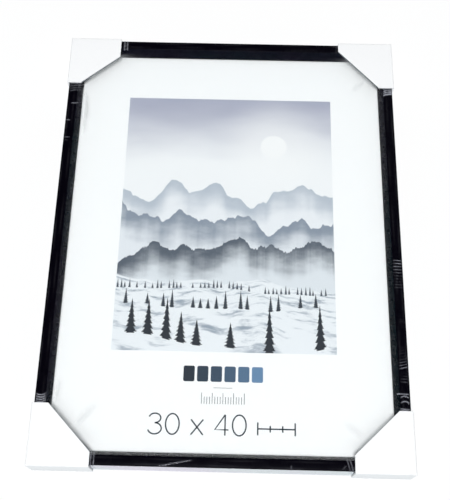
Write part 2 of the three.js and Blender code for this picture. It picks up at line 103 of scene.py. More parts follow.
@dataclass(frozen=True)
class FlapCut:
    """Where one card corner's flaps end, as depths in from the rails' outer faces.

    The slanting cut goes from leg_x in and depth_x deep, by depths counted along X and Y, to depth_y in
    and leg_y deep.
    """

    signs: tuple[int, int]
    outer: tuple[float, float]
    leg_x: float
    depth_x: float
    leg_y: float
    depth_y: float

    @classmethod
    def read(cls, corner: str, outer: tuple[float, float]) -> "FlapCut":
        """Reads the cut from a packed card corner's points.

        Args:
            corner: The corner's name.
            outer: How far the rails' outer faces are from the frame's middle, in X and Y.

        Returns:
            The corner's cut.
        """
        signs = CORNERS[corner]
        points = Surface.vectors(frame["nodes"]["card_corner_" + corner].data.vertices, "co")
        inner = np.array(outer) - points[:, :2] * signs
        leg_x, leg_y = inner.max(axis=0)
        depth_x = inner[inner[:, 0] > leg_x - NEAR, 1].max()
        depth_y = inner[inner[:, 1] > leg_y - NEAR, 0].max()
        return cls(signs, outer, float(leg_x), float(depth_x), float(leg_y), float(depth_y))

    def line(self) -> tuple[float, float, float]:
        """The factors of x, y and 1 whose sum is the distance past the cut, towards the frame's middle."""
        across = np.array([self.leg_y - self.depth_x, self.leg_x - self.depth_y])
        across /= np.linalg.norm(across)
        start = np.array(self.outer) - [self.leg_x, self.depth_x]
        return (-across[0] * self.signs[0], -across[1] * self.signs[1], float(across @ start))

    def past(self, x: np.ndarray, y: np.ndarray) -> np.ndarray:
        """How far places are past the cut, negative under the flap."""
        a, b, c = self.line()
        return a * x + b * y + c

    def leg(self, horizontal: bool) -> float:
        """How far the corner reaches along a horizontal or an upright rail, from the other rail's face."""
        return self.leg_x if horizontal else self.leg_y


@dataclass(frozen=True)
class Plan:
    """The frame's own sizes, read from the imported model."""

    sight_x: float
    sight_y: float
    outer_x: float
    outer_y: float
    rail_back: float
    rail_front: float
    glazing_front: float
    insert_front: float
    cuts: dict[str, FlapCut]

    @classmethod
    def read(cls) -> "Plan":
        """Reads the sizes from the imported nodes' boxes.

        Returns:
            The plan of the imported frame.
        """
        top_low, top_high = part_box(Side.TOP.node)
        right_low, right_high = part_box(Side.RIGHT.node)
        outer = (right_high.x, top_high.y)
        return cls(
            sight_x=right_low.x,
            sight_y=top_low.y,
            outer_x=right_high.x,
            outer_y=top_high.y,
            rail_back=top_low.z,
            rail_front=top_high.z,
            glazing_front=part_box("glazing")[1].z,
            insert_front=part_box("printed_insert")[1].z,
            cuts={corner: FlapCut.read(corner, outer) for corner in CORNERS},
        )

    @property
    def rail_width(self) -> float:
        """The rail's width from sight edge to outer edge."""
        return self.outer_y - self.sight_y


class Graph:
    """A material's node tree under construction, with short calls for the nodes the finishes share."""

    output_kind = "OutputMaterial"

    def __init__(self, name: str) -> None:
        """Starts an empty tree.

        Args:
            name: The name of what the tree is for.
        """
        self.owner = self._made(name)
        self.owner.use_nodes = True
        self.tree = self.owner.node_tree
        self.tree.nodes.clear()
        self.output = self.node(self.output_kind)
        self._place: Socket | None = None

    @staticmethod
    def _made(name: str) -> bpy.types.Material:
        """The new material that the tree is for."""
        return bpy.data.materials.new(name)

    def node(
        self, kind: str, inputs: dict[str | int, Value] | None = None, **settings: object
    ) -> bpy.types.Node:
        """Adds a node.

        Args:
            kind: The node's type, without its ShaderNode prefix.
            inputs: A value or another node's output for each input, by name or number.
            **settings: The node's own properties.

        Returns:
            The new node.
        """
        made = self.tree.nodes.new("ShaderNode" + kind)
        for key, value in settings.items():
            setattr(made, key, value)
        for key, value in (inputs or {}).items():
            socket = made.inputs[key]
            if isinstance(value, bpy.types.NodeSocket):
                self.tree.links.new(value, socket)
            elif isinstance(value, tuple) and socket.type == "RGBA":
                socket.default_value = (*value, 1.0)
            else:
                socket.default_value = value
        return made

    def math(self, operation: str, *values: Value, clamp: bool = False) -> Socket:
        """Adds a Math node and returns its output."""
        inputs = dict(enumerate(values))
        return self.node("Math", inputs, operation=operation, use_clamp=clamp).outputs[0]

    def place(self) -> Socket:
        """The surface point in the frame's metres, the same at rest and at every pose."""
        if self._place is None:
            self._place = self.node("TexCoord").outputs["Object"]
        return self._place

    def axes(self) -> list[Socket]:
        """The surface point's x, y and z, each by itself."""
        return list(self.node("SeparateXYZ", {0: self.place()}).outputs)

    def stretched(self, scale: tuple[float, float, float]) -> Socket:
        """The surface point with each axis multiplied, for a pattern that is longer one way."""
        return self.node("VectorMath", {0: self.place(), 1: scale}, operation="MULTIPLY").outputs[0]

    def noise(
        self, scale: float, detail: float = 2.0, roughness: float = 0.5, vector: Socket | None = None
    ) -> Socket:
        """Soft three-dimensional noise of about 0 to 1, on the surface point unless a vector is given."""
        inputs = {
            "Vector": vector or self.place(),
            "Scale": scale,
            "Detail": detail,
            "Roughness": roughness,
        }
        return self.node("TexNoise", inputs).outputs[0]

    def line_noise(self, where: Socket, scale: float, seed: float, detail: float = 4.0) -> Socket:
        """Noise along one line, for an outline such as a ridge's."""
        inputs = {"W": self.math("ADD", where, seed), "Scale": scale, "Detail": detail}
        return self.node("TexNoise", inputs, noise_dimensions="1D").outputs[0]

    def ramp(
        self, value: Socket, low: float, high: float, start: float = 0.0, end: float = 1.0, **way: str
    ) -> Socket:
        """Rises evenly from start to end as value goes from low to high."""
        inputs = {"Value": value, "From Min": low, "From Max": high, "To Min": start, "To Max": end}
        return self.node("MapRange", inputs, **way).outputs[0]

    def step(self, value: Socket, low: float, high: float, start: float = 0.0, end: float = 1.0) -> Socket:
        """Rises smoothly from start to end as value goes from low to high."""
        return self.ramp(value, low, high, start, end, interpolation_type="SMOOTHSTEP")

    def mix(self, share: Value, first: Value, second: Value) -> Socket:
        """Mixes two colours: all first at a share of 0, all second at 1."""
        return self.node("Mix", {0: share, 6: first, 7: second}, data_type="RGBA").outputs[2]

    def blend(self, share: Socket, first: Value, second: Value) -> Socket:
        """Blends two numbers: all first at a share of 0, all second at 1."""
        return self.node("Mix", {0: share, 2: first, 3: second}).outputs[0]

    def bump(self, height: Socket, depth: float, strength: float = 1.0) -> Socket:
        """A normal bent by a height of 0 to 1 that stands for a relief of that depth."""
        inputs = {"Height": height, "Distance": depth, "Strength": strength}
        return self.node("Bump", inputs).outputs[0]

    def principled(self, **inputs: Value) -> Socket:
        """A Principled shader, its inputs named in lower case with _ for a space."""
        named = {}
        for key, value in inputs.items():
            words = key.replace("_", " ").title()
            named[{"Specular Ior Level": "Specular IOR Level", "Ior": "IOR"}.get(words, words)] = value
        return self.node("BsdfPrincipled", named).outputs[0]

    def slanted(self, face: float, power: float) -> Socket:
        """A mirror's share: face + (1 - face) * f^power, with f 0 seen head on and 1 along the surface."""
        slant = self.node("LayerWeight", {"Blend": 0.5}).outputs["Facing"]
        return self.math("MULTIPLY_ADD", self.math("POWER", slant, power), 1.0 - face, face)

    def finish(self, shader: Socket) -> bpy.types.Material | bpy.types.World:
        """Joins a shader to the output and returns what the tree is for."""
        self.tree.links.new(shader, self.output.inputs["Surface"])
        return self.owner


class RoomGraph(Graph):
    """The node tree of the room round the table, with the same short calls."""

    output_kind = "OutputWorld"

    @staticmethod
    def _made(name: str) -> bpy.types.World:
        """The new world that the tree is for."""
        return bpy.data.worlds.new(name)


@dataclass(frozen=True)
class FoilFinish:
    """Smooth black satin foil wrapped round a fibreboard core that shows in the rabbet and the back."""

    plan: Plan
    colour: Colour = (0.0013, 0.0008, 0.0030)
    slope_painted_violet_sheen: Colour = (0.0045, 0.0038, 0.0085)
    slope_painted_teal_sheen: Colour = (0.0009, 0.0042, 0.0068)
    slope_width: float = 4.0 * MILLIMETRE
    slope_blend: tuple[float, float] = (-0.2 * MILLIMETRE, 0.5 * MILLIMETRE)
    lip_gap: float = 0.1 * MILLIMETRE
    core_colour: Colour = (0.22, 0.13, 0.07)
    core_dark: Colour = (0.13, 0.075, 0.04)
    foil_lap: float = 2.5 * MILLIMETRE
    roughness: float = 0.24
    satin_change: float = 0.07
    core_roughness: float = 0.85
    fibre_scale: float = 900.0
    grain_scale: float = 2600.0
    relief: float = 0.04 * MILLIMETRE
    specular: float = 0.05
    specular_tint: Colour = (0.85, 0.9, 1.0)

    def material(self) -> bpy.types.Material:
        """Builds the foil, violet-black on the front and with a painted violet and teal sheen on the slope,
        and the bare core.

        Returns:
            The rails' material.
        """
        g = Graph("black_foil")
        x, y, z = g.axes()
        across_x = g.math("SUBTRACT", g.math("ABSOLUTE", x), self.plan.outer_x)
        across_y = g.math("SUBTRACT", g.math("ABSOLUTE", y), self.plan.outer_y)
        inset = g.math("MULTIPLY", g.math("MAXIMUM", across_x, across_y), -1.0)
        past_lap = g.math("GREATER_THAN", inset, self.foil_lap)
        below_lip = g.math("LESS_THAN", z, self.plan.glazing_front + self.lip_gap)
        bare = g.math("MULTIPLY", past_lap, below_lip)
        slope_start = self.plan.rail_width - self.slope_width
        slope = g.step(inset, *(slope_start + blend for blend in self.slope_blend))
        # Painted sheen: the violet and teal on the slope stand in for the film's reflection there, not the
        # foil's own colour.
        sheen = g.mix(g.step(g.noise(9.0, 2.0), 0.42, 0.58), self.slope_painted_violet_sheen, self.slope_painted_teal_sheen)
        foil = g.mix(slope, self.colour, sheen)
        fibre = g.noise(self.fibre_scale, 4.0, 0.7)
        core = g.mix(fibre, self.core_dark, self.core_colour)
        grain = g.noise(self.grain_scale, 2.0, 0.6)
        satin = g.ramp(g.noise(140.0, 3.0), 0.3, 0.7, self.roughness, self.roughness + self.satin_change)
        worn = g.math("MAXIMUM", satin, g.math("MULTIPLY", bare, self.core_roughness))
        depth = g.math("ADD", g.math("MULTIPLY", grain, 0.15), g.math("MULTIPLY", fibre, bare))
        shader = g.principled(
            base_color=g.mix(bare, foil, core),
            roughness=worn,
            specular_ior_level=self.specular,
            specular_tint=self.specular_tint,
            normal=g.bump(depth, self.relief, 0.5),
        )
        return g.finish(shader)


@dataclass(frozen=True)
class GlassFinish:
    """Polished clear glazing that lets lamps through to the paper behind it."""

    tint: Colour = (0.998, 1.0, 1.0)
    edge_tint: Colour = (0.6, 0.85, 0.8)
    face_gloss: float = 0.02
    slant_power: float = 5.0
    polish: tuple[float, float] = (0.01, 0.03)
    covered: float = 4.99 * MILLIMETRE

    def material(self, plan: Plan) -> bpy.types.Material:
        """Builds a clear pane that mirrors more at a slant and is greener at its cut edge.

        Args:
            plan: The frame's sizes, which say where the cut edge is.

        Returns:
            The glazing's material.
        """
        g = Graph("clear_glass")
        x, y, _ = g.axes()
        past_x = g.math("GREATER_THAN", g.math("ABSOLUTE", x), plan.sight_x + self.covered)
        past_y = g.math("GREATER_THAN", g.math("ABSOLUTE", y), plan.sight_y + self.covered)
        tint = g.mix(g.math("MAXIMUM", past_x, past_y), self.tint, self.edge_tint)
        through = g.node("BsdfTransparent", {"Color": tint}).outputs[0]
        polish = g.ramp(g.noise(6.0, 2.0), 0.3, 0.7, *self.polish)
        mirror = g.node("BsdfGlossy", {"Color": (1.0, 1.0, 1.0), "Roughness": polish}).outputs[0]
        share = g.slanted(self.face_gloss, self.slant_power)
        return g.finish(g.node("MixShader", {0: share, 1: through, 2: mirror}).outputs[0])


@dataclass(frozen=True)
class PaperFinish:
    """Smooth white printing paper, a little blue by its brightener."""

    colour: Colour = (0.98, 0.99, 0.99)
    shade: Colour = (0.965, 0.98, 0.985)
    cloud_scale: float = 220.0
    fibre_scale: float = 2400.0
    roughness: tuple[float, float] = (0.62, 0.74)
    relief: float = 0.02 * MILLIMETRE

    def material(self) -> bpy.types.Material:
        """Builds matt paper with a faint cloudy formation and fibres.

        Returns:
            The insert's material.
        """
        g = Graph("printed_paper")
        cloud = g.noise(self.cloud_scale, 3.0, 0.6)
        fibre = g.noise(self.fibre_scale, 3.0, 0.7, g.stretched((1.0, 0.35, 1.0)))
        shader = g.principled(
            base_color=g.mix(g.step(cloud, 0.3, 0.7), self.shade, self.colour),
            roughness=g.ramp(fibre, 0.2, 0.8, *self.roughness),
            specular_ior_level=PAPER_SPECULAR,
            normal=g.bump(fibre, self.relief, 0.5),
        )
        return g.finish(shader)


@dataclass(frozen=True)
class Ridge:
    """One range of hills in the printed picture, by distances above the picture's foot."""

    height: float
    rise: float
    detail_scale: float
    seed: float
    tone: Colour
    mist: Colour
    fade: float
    softness: float
    teeth: float = 0.0


@dataclass(frozen=True)
class Grove:
    """One row of fir trees in the printed picture, by distances above the picture's foot."""

    base: float
    swell: float
    pitch: float
    height: float
    share: float
    seed: float
    tone: Colour


@dataclass(frozen=True)
class PictureFinish:
    """A misty winter hill landscape printed in blue-grey, of this frame's own making."""

    foot: float
    head: float
    sky: Colour = (0.93, 0.95, 0.96)
    sky_head: Colour = (0.42, 0.44, 0.55)
    sky_depth: float = 0.055
    sun: Colour = (0.97, 0.98, 0.98)
    sun_place: tuple[float, float] = (0.043, 0.204)
    sun_radius: float = 0.0125
    glow_radius: float = 0.062
    glow: float = 0.6
    snow: Colour = (0.86, 0.9, 0.93)
    snow_shade: Colour = (0.33, 0.39, 0.46)
    snow_height: float = 0.066
    snow_wave: float = 0.034
    disc_edge: float = 0.0004
    bough_count: float = 7.0
    bough_depth: float = 0.45
    fir_width: float = 0.52
    fir_foot: float = -0.04
    grain_scale: float = 5200.0
    grain_colour: Colour = (0.3, 0.33, 0.38)
    relief: float = 0.01 * MILLIMETRE

    def ridges(self) -> list[Ridge]:
        """The hill ranges from the farthest to the nearest."""
        return [
            Ridge(0.158, 0.046, 13.0, 3.1, (0.50, 0.56, 0.63), (0.86, 0.89, 0.92), 0.030, 0.0010),
            Ridge(0.128, 0.048, 15.0, 9.4, (0.27, 0.32, 0.39), (0.80, 0.84, 0.88), 0.036, 0.0007),
            Ridge(0.096, 0.036, 16.0, 14.2, (0.10, 0.125, 0.16), (0.76, 0.81, 0.85), 0.034, 0.0004, 0.0030),
        ]

    def groves(self) -> list[Grove]:
        """The rows of firs on the snow from the farthest to the nearest."""
        return [
            Grove(0.058, 0.016, 0.0036, 0.0085, 0.62, 4.7, (0.07, 0.085, 0.11)),
            Grove(0.040, 0.022, 0.0068, 0.0165, 0.5, 8.3, (0.035, 0.045, 0.06)),
            Grove(0.010, 0.030, 0.0150, 0.0400, 0.55, 12.9, (0.016, 0.021, 0.03)),
        ]

    def material(self) -> bpy.types.Material:
        """Builds the landscape: sky, sun, misty ranges, a snow field with drifts, firs, and print grain.

        Returns:
            The printed picture's material.
        """
        g = Graph("printed_picture")
        x, y, _ = g.axes()
        height = g.math("SUBTRACT", y, self.foot)
        span = self.head - self.foot
        drift = g.math("MULTIPLY", g.noise(9.0, 4.0, 0.55, g.stretched((1.0, 3.2, 1.0))), 0.05)
        veil = g.math("ADD", height, drift)
        colour = g.mix(g.step(veil, span - self.sky_depth, span + 0.03), self.sky, self.sky_head)
        across = g.math("SUBTRACT", x, self.sun_place[0])
        above = g.math("SUBTRACT", height, self.sun_place[1])
        reach = g.math("SQRT", g.math("ADD", g.math("POWER", across, 2.0), g.math("POWER", above, 2.0)))
        colour = g.mix(g.step(reach, self.sun_radius, self.glow_radius, self.glow, 0.0), colour, self.sun)
        inner, outer = self.sun_radius - self.disc_edge, self.sun_radius + self.disc_edge
        disc = g.step(reach, inner, outer, 1.0, 0.0)
        colour = g.mix(disc, colour, self.sun)
        for ridge in self.ridges():
            colour = self._with_ridge(g, colour, x, height, ridge)
        colour = self._with_snow(g, colour, x, height)
        for grove in self.groves():
            colour = self._with_grove(g, colour, x, height, grove)
        grain = g.noise(self.grain_scale, 2.0, 0.8)
        colour = g.mix(g.ramp(grain, 0.3, 0.75, 0.0, 0.08), colour, self.grain_colour)
        shader = g.principled(
            base_color=colour,
            roughness=g.ramp(grain, 0.2, 0.8, 0.5, 0.6),
            specular_ior_level=PAPER_SPECULAR,
            normal=g.bump(grain, self.relief, 0.4),
        )
        return g.finish(shader)

    def _with_ridge(self, g: Graph, behind: Socket, x: Socket, height: Socket, ridge: Ridge) -> Socket:
        """Lays one range over what is behind it.

        The crest is the range's height plus its rise times noise along x. The tone goes from the range's
        own colour at the crest to its mist over the fade below it.

        Args:
            g: The node tree.
            behind: The colour behind the range.
            x: The place across the picture.
            height: The place above the picture's foot.
            ridge: The range.

        Returns:
            The colour with the range laid over it.
        """
        wave = g.line_noise(x, ridge.detail_scale, ridge.seed, 5.0)
        crest = g.math("MULTIPLY_ADD", g.math("SUBTRACT", wave, 0.5), 2 * ridge.rise, ridge.height)
        if ridge.teeth:
            trees = g.line_noise(x, 620.0, ridge.seed, 1.0)
            crest = g.math("MULTIPLY_ADD", trees, ridge.teeth, crest)
        below = g.math("SUBTRACT", crest, height)
        cloud = g.noise(26.0, 5.0, 0.6, g.stretched((1.0, 2.4, 1.0)))
        haze = g.math("MULTIPLY_ADD", g.math("SUBTRACT", cloud, 0.5), ridge.fade * 1.1, below)
        tone = g.mix(g.step(haze, 0.0, ridge.fade), ridge.tone, ridge.mist)
        return g.mix(g.step(below, 0.0, ridge.softness), behind, tone)

    def _with_snow(self, g: Graph, behind: Socket, x: Socket, height: Socket) -> Socket:
        """Lays the snow field over the picture's lower part, its drifts wider towards the foot.

        A drift's pattern is noise read at x and at the logarithm of the depth below the field's head, both
        over the depth.

        Args:
            g: The node tree.
            behind: The colour behind the field.
            x: The place across the picture.
            height: The place above the picture's foot.

        Returns:
            The colour with the snow laid over it.
        """
        wave = g.line_noise(x, 9.0, 27.4, 3.0)
        edge = g.math("MULTIPLY_ADD", g.math("SUBTRACT", wave, 0.5), self.snow_wave, self.snow_height)
        below = g.math("SUBTRACT", edge, height)
        depth = g.math("MAXIMUM", g.math("ADD", below, 0.012), 0.004)
        reach = g.math("DIVIDE", x, g.math("ADD", depth, 0.03))
        log = g.math("MULTIPLY", g.math("LOGARITHM", depth, 2.718), -2.6)
        where = g.node("CombineXYZ", {0: reach, 1: log, 2: 0.0}).outputs[0]
        drifts = g.noise(2.1, 6.0, 0.68, where)
        tone = g.mix(g.step(drifts, 0.5, 0.66), self.snow, self.snow_shade)
        return g.mix(g.step(below, 0.0, 0.002), behind, tone)

    def _with_grove(self, g: Graph, behind: Socket, x: Socket, height: Socket, grove: Grove) -> Socket:
        """Lays one row of firs over the picture.

        Each cell of the row's pitch holds one fir, or none where its random number is past the share. A
        fir is drawn where the distance from the cell's middle is less than its half width, which falls
        evenly to its tip and steps in and out along its boughs.

        Args:
            g: The node tree.
            behind: The colour behind the row.
            x: The place across the picture.
            height: The place above the picture's foot.
            grove: The row.

        Returns:
            The colour with the firs laid over it.
        """
        cell = g.math("DIVIDE", g.math("ADD", x, grove.seed), grove.pitch)
        number = g.math("FLOOR", cell)
        seeded = {"W": g.math("ADD", number, grove.seed)}
        chance = g.node("TexWhiteNoise", seeded, noise_dimensions="1D").outputs["Value"]
        again = {"W": g.math("MULTIPLY", number, 1.37)}
        size = g.node("TexWhiteNoise", again, noise_dimensions="1D").outputs["Value"]
        shift = g.math("MULTIPLY", g.math("SUBTRACT", size, 0.5), 0.3)
        local = g.math("ABSOLUTE", g.math("SUBTRACT", g.math("FRACT", cell), g.math("ADD", shift, 0.5)))
        tall = g.math("MULTIPLY_ADD", size, 0.5 * grove.height, 0.55 * grove.height)
        wave = g.line_noise(x, 7.0, grove.seed, 2.0)
        ground = g.math("MULTIPLY_ADD", g.math("SUBTRACT", wave, 0.5), grove.swell, grove.base)
        up = g.math("DIVIDE", g.math("SUBTRACT", height, ground), tall)
        bough = g.math("FRACT", g.math("MULTIPLY", up, self.bough_count))
        ragged = g.math("MULTIPLY_ADD", g.line_noise(height, 2600.0, grove.seed, 1.0), 0.5, 0.45)
        spread = g.math("SUBTRACT", 1.0, g.math("MULTIPLY", bough, self.bough_depth))
        width = g.math("MULTIPLY", g.math("SUBTRACT", 1.0, up), spread)
        width = g.math("MULTIPLY", g.math("MULTIPLY", width, ragged), self.fir_width)
        inside = g.math("LESS_THAN", local, width)
        standing = g.math("GREATER_THAN", up, self.fir_foot)
        here = g.math("LESS_THAN", chance, grove.share)
        cover = g.math("MULTIPLY", g.math("MULTIPLY", inside, standing), here)
        return g.mix(cover, behind, grove.tone)


@dataclass(frozen=True)
class InkFinish:
    """Blue-grey printing ink laid flat on paper."""

    name: str
    colour: Colour
    fibre_scale: float = 1900.0

    def material(self) -> bpy.types.Material:
        """Builds matt ink with the paper's fibres showing faintly through.

        Returns:
            The ink's material.
        """
        g = Graph(self.name)
        fibre = g.noise(self.fibre_scale, 3.0, 0.7)
        pale = tuple(min(1.0, c * 1.5 + 0.03) for c in self.colour)
        shader = g.principled(
            base_color=g.mix(g.ramp(fibre, 0.35, 0.75, 0.0, 0.5), self.colour, pale),
            roughness=g.ramp(fibre, 0.2, 0.8, 0.5, 0.65),
            specular_ior_level=PAPER_SPECULAR,
        )
        return g.finish(shader)


@dataclass(frozen=True)
class BoardFinish:
    """Brown hardboard, smooth on the side that shows, with loose fibres pressed in."""

    colour: Colour = (0.36, 0.22, 0.125)
    dark: Colour = (0.2, 0.11, 0.06)
    fibre_colour: Colour = (0.52, 0.37, 0.23)
    speck_colour: Colour = (0.07, 0.04, 0.02)
    cloud_scale: float = 28.0
    fibre_scale: float = 700.0
    speck_scale: float = 1500.0
    relief: float = 0.06 * MILLIMETRE

    def material(self) -> bpy.types.Material:
        """Builds pressed board: cloudy brown, dark specks and short pale fibres.

        Returns:
            The backing board's material.
        """
        g = Graph("hardboard")
        cloud = g.noise(self.cloud_scale, 4.0, 0.6)
        fibre = g.noise(self.fibre_scale, 4.0, 0.75, g.stretched((1.0, 0.22, 1.0)))
        speck = g.step(g.noise(self.speck_scale, 1.0), 0.66, 0.74)
        base = g.mix(g.ramp(cloud, 0.3, 0.7), self.dark, self.colour)
        base = g.mix(g.step(fibre, 0.5, 0.72, 0.0, 0.4), base, self.fibre_colour)
        base = g.mix(g.math("MULTIPLY", speck, 0.6), base, self.speck_colour)
        shader = g.principled(
            base_color=base,
            roughness=g.ramp(fibre, 0.2, 0.8, 0.48, 0.72),
            specular_ior_level=0.4,
            normal=g.bump(fibre, self.relief, 0.6),
        )
        return g.finish(shader)


@dataclass(frozen=True)
class SteelFinish:
    """Pressed steel with a plated skin, drawn faintly along one way."""

    name: str
    colour: Colour
    roughness: float
    roughness_change: float = 0.16
    blue: Colour = (0.55, 0.6, 0.68)
    cloud_scale: float = 260.0
    line_scale: float = 2400.0
    pit_scale: float = 3800.0
    relief: float = 0.012 * MILLIMETRE

    def material(self) -> bpy.types.Material:
        """Builds plated metal with cloudy plating, fine drawing lines and small pits.

        Returns:
            The steel's material.
        """
        g = Graph(self.name)
        cloud = g.noise(self.cloud_scale, 3.0, 0.55)
        line = g.noise(self.line_scale, 3.0, 0.7, g.stretched((1.0, 0.12, 1.0)))
        pit = g.step(g.noise(self.pit_scale, 1.0), 0.68, 0.78)
        rougher = self.roughness + self.roughness_change
        shader = g.principled(
            base_color=g.mix(g.ramp(cloud, 0.35, 0.7, 0.0, 0.55), self.colour, self.blue),
            metallic=1.0,
            roughness=g.ramp(line, 0.25, 0.75, self.roughness, rougher),
            normal=g.bump(g.math("SUBTRACT", line, pit), self.relief, 0.5),
        )
        return g.finish(shader)


@dataclass(frozen=True)
class CardFinish:
    """White folded board with a soft tooth, grey where its slanting cut is, partly its core and partly a
    painted shadow line.
    """

    name: str
    cut: FlapCut
    rail_front: float
    colour: Colour = (0.955, 0.958, 0.962)
    cut_core_and_shade_colour: Colour = (0.085, 0.1, 0.115)
    painted_cut_shade_width: float = 0.42 * MILLIMETRE
    painted_cut_shade: Colour = (0.25, 0.28, 0.31)
    mottle_colour: Colour = (0.9, 0.91, 0.92)
    layer_colour: Colour = (0.3, 0.33, 0.36)
    speckle_scale: float = 700.0
    mottle_scale: float = 420.0
    layer_scale: float = 1800.0
    relief: float = 0.03 * MILLIMETRE
    layer_relief: float = 0.08 * MILLIMETRE

    def material(self) -> bpy.types.Material:
        """Builds the board's face: matt white with a faint mottle, and a painted speckled grey shadow line
        along the slanting cut.

        Returns:
            The card corners' face material.
        """
        g = Graph(self.name)
        x, y, z = g.axes()
        by_x, by_y, start = self.cut.line()
        past = g.math("ADD", g.math("MULTIPLY_ADD", x, by_x, start), g.math("MULTIPLY", y, by_y))
        speckle = g.math("MULTIPLY_ADD", g.noise(self.speckle_scale, 3.0, 0.7), 2.4, -0.5)
        # Painted shadow line: a speckled grey on the front face along the slanting cut stands in for the
        # shade under the flap's edge.
        edge = g.step(past, -self.painted_cut_shade_width, 0.0)
        front = g.math("GREATER_THAN", z, self.rail_front)
        painted_cut_shade_mask = g.math("MULTIPLY", g.math("MULTIPLY", edge, front), speckle, clamp=True)
        mottle = g.noise(self.mottle_scale, 4.0, 0.65)
        face = g.mix(g.ramp(mottle, 0.3, 0.7, 0.0, 0.25), self.colour, self.mottle_colour)
        shader = g.principled(
            base_color=g.mix(painted_cut_shade_mask, face, self.painted_cut_shade),
            roughness=g.ramp(mottle, 0.3, 0.7, 0.7, 0.82),
            specular_ior_level=0.3,
            normal=g.bump(mottle, self.relief, 0.5),
        )
        return g.finish(shader)

    def cut_material(self) -> bpy.types.Material:
        """Builds the board's cut edge: dark grey, partly the board's core and partly a painted shadow line,
        with the layers pressed together.

        Returns:
            The card corners' cut edge material.
        """
        g = Graph(self.name + "_cut")
        layer = g.noise(self.layer_scale, 2.0, 0.7)
        # The cut edge's dark grey is partly the board's grey core and partly a painted shadow line.
        shader = g.principled(
            base_color=g.mix(g.ramp(layer, 0.3, 0.7, 0.0, 0.6), self.cut_core_and_shade_colour, self.layer_colour),
            roughness=0.85,
            specular_ior_level=0.2,
            normal=g.bump(layer, self.layer_relief, 0.7),
        )
        return g.finish(shader)


@dataclass(frozen=True)
class FilmFinish:
    """Thin clear shrink film, dull face on and bright at a slant."""

    name: str = "shrink_film"
    tint: Colour = (0.998, 0.997, 1.0)
    fold_tint: Colour = (0.62, 0.74, 0.84)
    violet: Colour = (0.92, 0.9, 1.0)
    teal: Colour = (0.9, 0.97, 1.0)
    milk_tint: Colour = (0.86, 0.88, 1.0)
    face_gloss: float = 0.006
    slant_power: float = 2.3
    tint_power: float = 1.6
    roughness: tuple[float, float] = (0.07, 0.16)
    milk: float = 0.5
    patchy: float = 0.65

    def material(self) -> bpy.types.Material:
        """Builds clear film, more mirror and more blue at a slant, and milky where it lies in folds.

        The piece's own crease attribute says where the folds are, from 0 to 1.

        Returns:
            The film's material.
        """
        g = Graph(self.name)
        slant = g.node("LayerWeight", {"Blend": 0.5}).outputs["Facing"]
        tint = g.mix(g.math("POWER", slant, self.tint_power), self.tint, self.fold_tint)
        through = g.node("BsdfTransparent", {"Color": tint}).outputs[0]
        haze = g.ramp(g.noise(90.0, 3.0, 0.6), 0.3, 0.7, *self.roughness)
        sheen = g.mix(g.step(g.noise(11.0, 2.0), 0.4, 0.6), self.violet, self.teal)
        mirror = g.node("BsdfGlossy", {"Color": sheen, "Roughness": haze}).outputs[0]
        share = g.slanted(self.face_gloss, self.slant_power)
        clear = g.node("MixShader", {0: share, 1: through, 2: mirror}).outputs[0]
        crease = g.node("Attribute", attribute_name="crease").outputs["Fac"]
        least = self.milk * (1 - self.patchy)
        broken = g.ramp(g.noise(260.0, 2.0), 0.3, 0.6, least, self.milk)
        milky = g.node("BsdfDiffuse", {"Color": self.milk_tint}).outputs[0]
        folded = g.math("MULTIPLY", crease, broken, clamp=True)
        return g.finish(g.node("MixShader", {0: folded, 1: clear, 2: milky}).outputs[0])


class Lines:
    """Flat lines, each an array of points: their lengths, their sides and their smooth corners."""

    @staticmethod
    def lefts(line: np.ndarray) -> np.ndarray:
        """The unit vector to a line's left at each of its points."""
        along = np.gradient(line, axis=0)
        along /= np.linalg.norm(along, axis=1, keepdims=True)
        return np.stack([-along[:, 1], along[:, 0]], axis=1)

    @staticmethod
    def walked(line: np.ndarray) -> np.ndarray:
        """How far along a line each of its points is."""
        return np.concatenate([[0], np.cumsum(np.linalg.norm(np.diff(line, axis=0), axis=1))])

    @staticmethod
    def at(line: np.ndarray, wanted: np.ndarray) -> np.ndarray:
        """The points that are so far along a line."""
        walked = Lines.walked(line)
        return np.stack([np.interp(wanted, walked, line[:, i]) for i in range(line.shape[1])], axis=1)

    @staticmethod
    def rounded(corners: np.ndarray, radius: float, steps: int = 6) -> np.ndarray:
        """A line through corners, each rounded by a curve that leaves the straights a radius away.

        Each inner corner becomes a quadratic curve from the point a radius before it to the point a
        radius past it, or a third of the shorter straight where that is less.

        Args:
            corners: The corners, one to a row.
            radius: How far from a corner its curve starts.
            steps: How many steps a curve has.

        Returns:
            The line's points.
        """
        t = np.linspace(0, 1, steps + 1)[:, None]
        parts = [corners[:1]]
        for before, corner, after in zip(corners[:-2], corners[1:-1], corners[2:]):
            shorter = min(np.linalg.norm(corner - before), np.linalg.norm(after - corner))
            reach = min(radius, shorter / 3)
            start = corner + (before - corner) / np.linalg.norm(before - corner) * reach
            end = corner + (after - corner) / np.linalg.norm(after - corner) * reach
            parts.append((1 - t) ** 2 * start + 2 * t * (1 - t) * corner + t**2 * end)
        parts.append(corners[-1:])
        return np.concatenate(parts)

    @staticmethod
    def filled(line: np.ndarray, spacing: float) -> np.ndarray:
        """Adds points to a line's straights, a spacing apart, and keeps the line's own points."""
        walked = Lines.walked(line)
        wanted = np.unique(np.concatenate([walked, np.arange(spacing, walked[-1], spacing)]))
        apart = np.diff(wanted) > 0.05 * spacing
        return Lines.at(line, wanted[np.concatenate([[True], apart])])

    @staticmethod
    def spaced(line: np.ndarray, count: int) -> np.ndarray:
        """Spreads a count of points evenly along a line."""
        return Lines.at(line, np.linspace(0, Lines.walked(line)[-1], count))


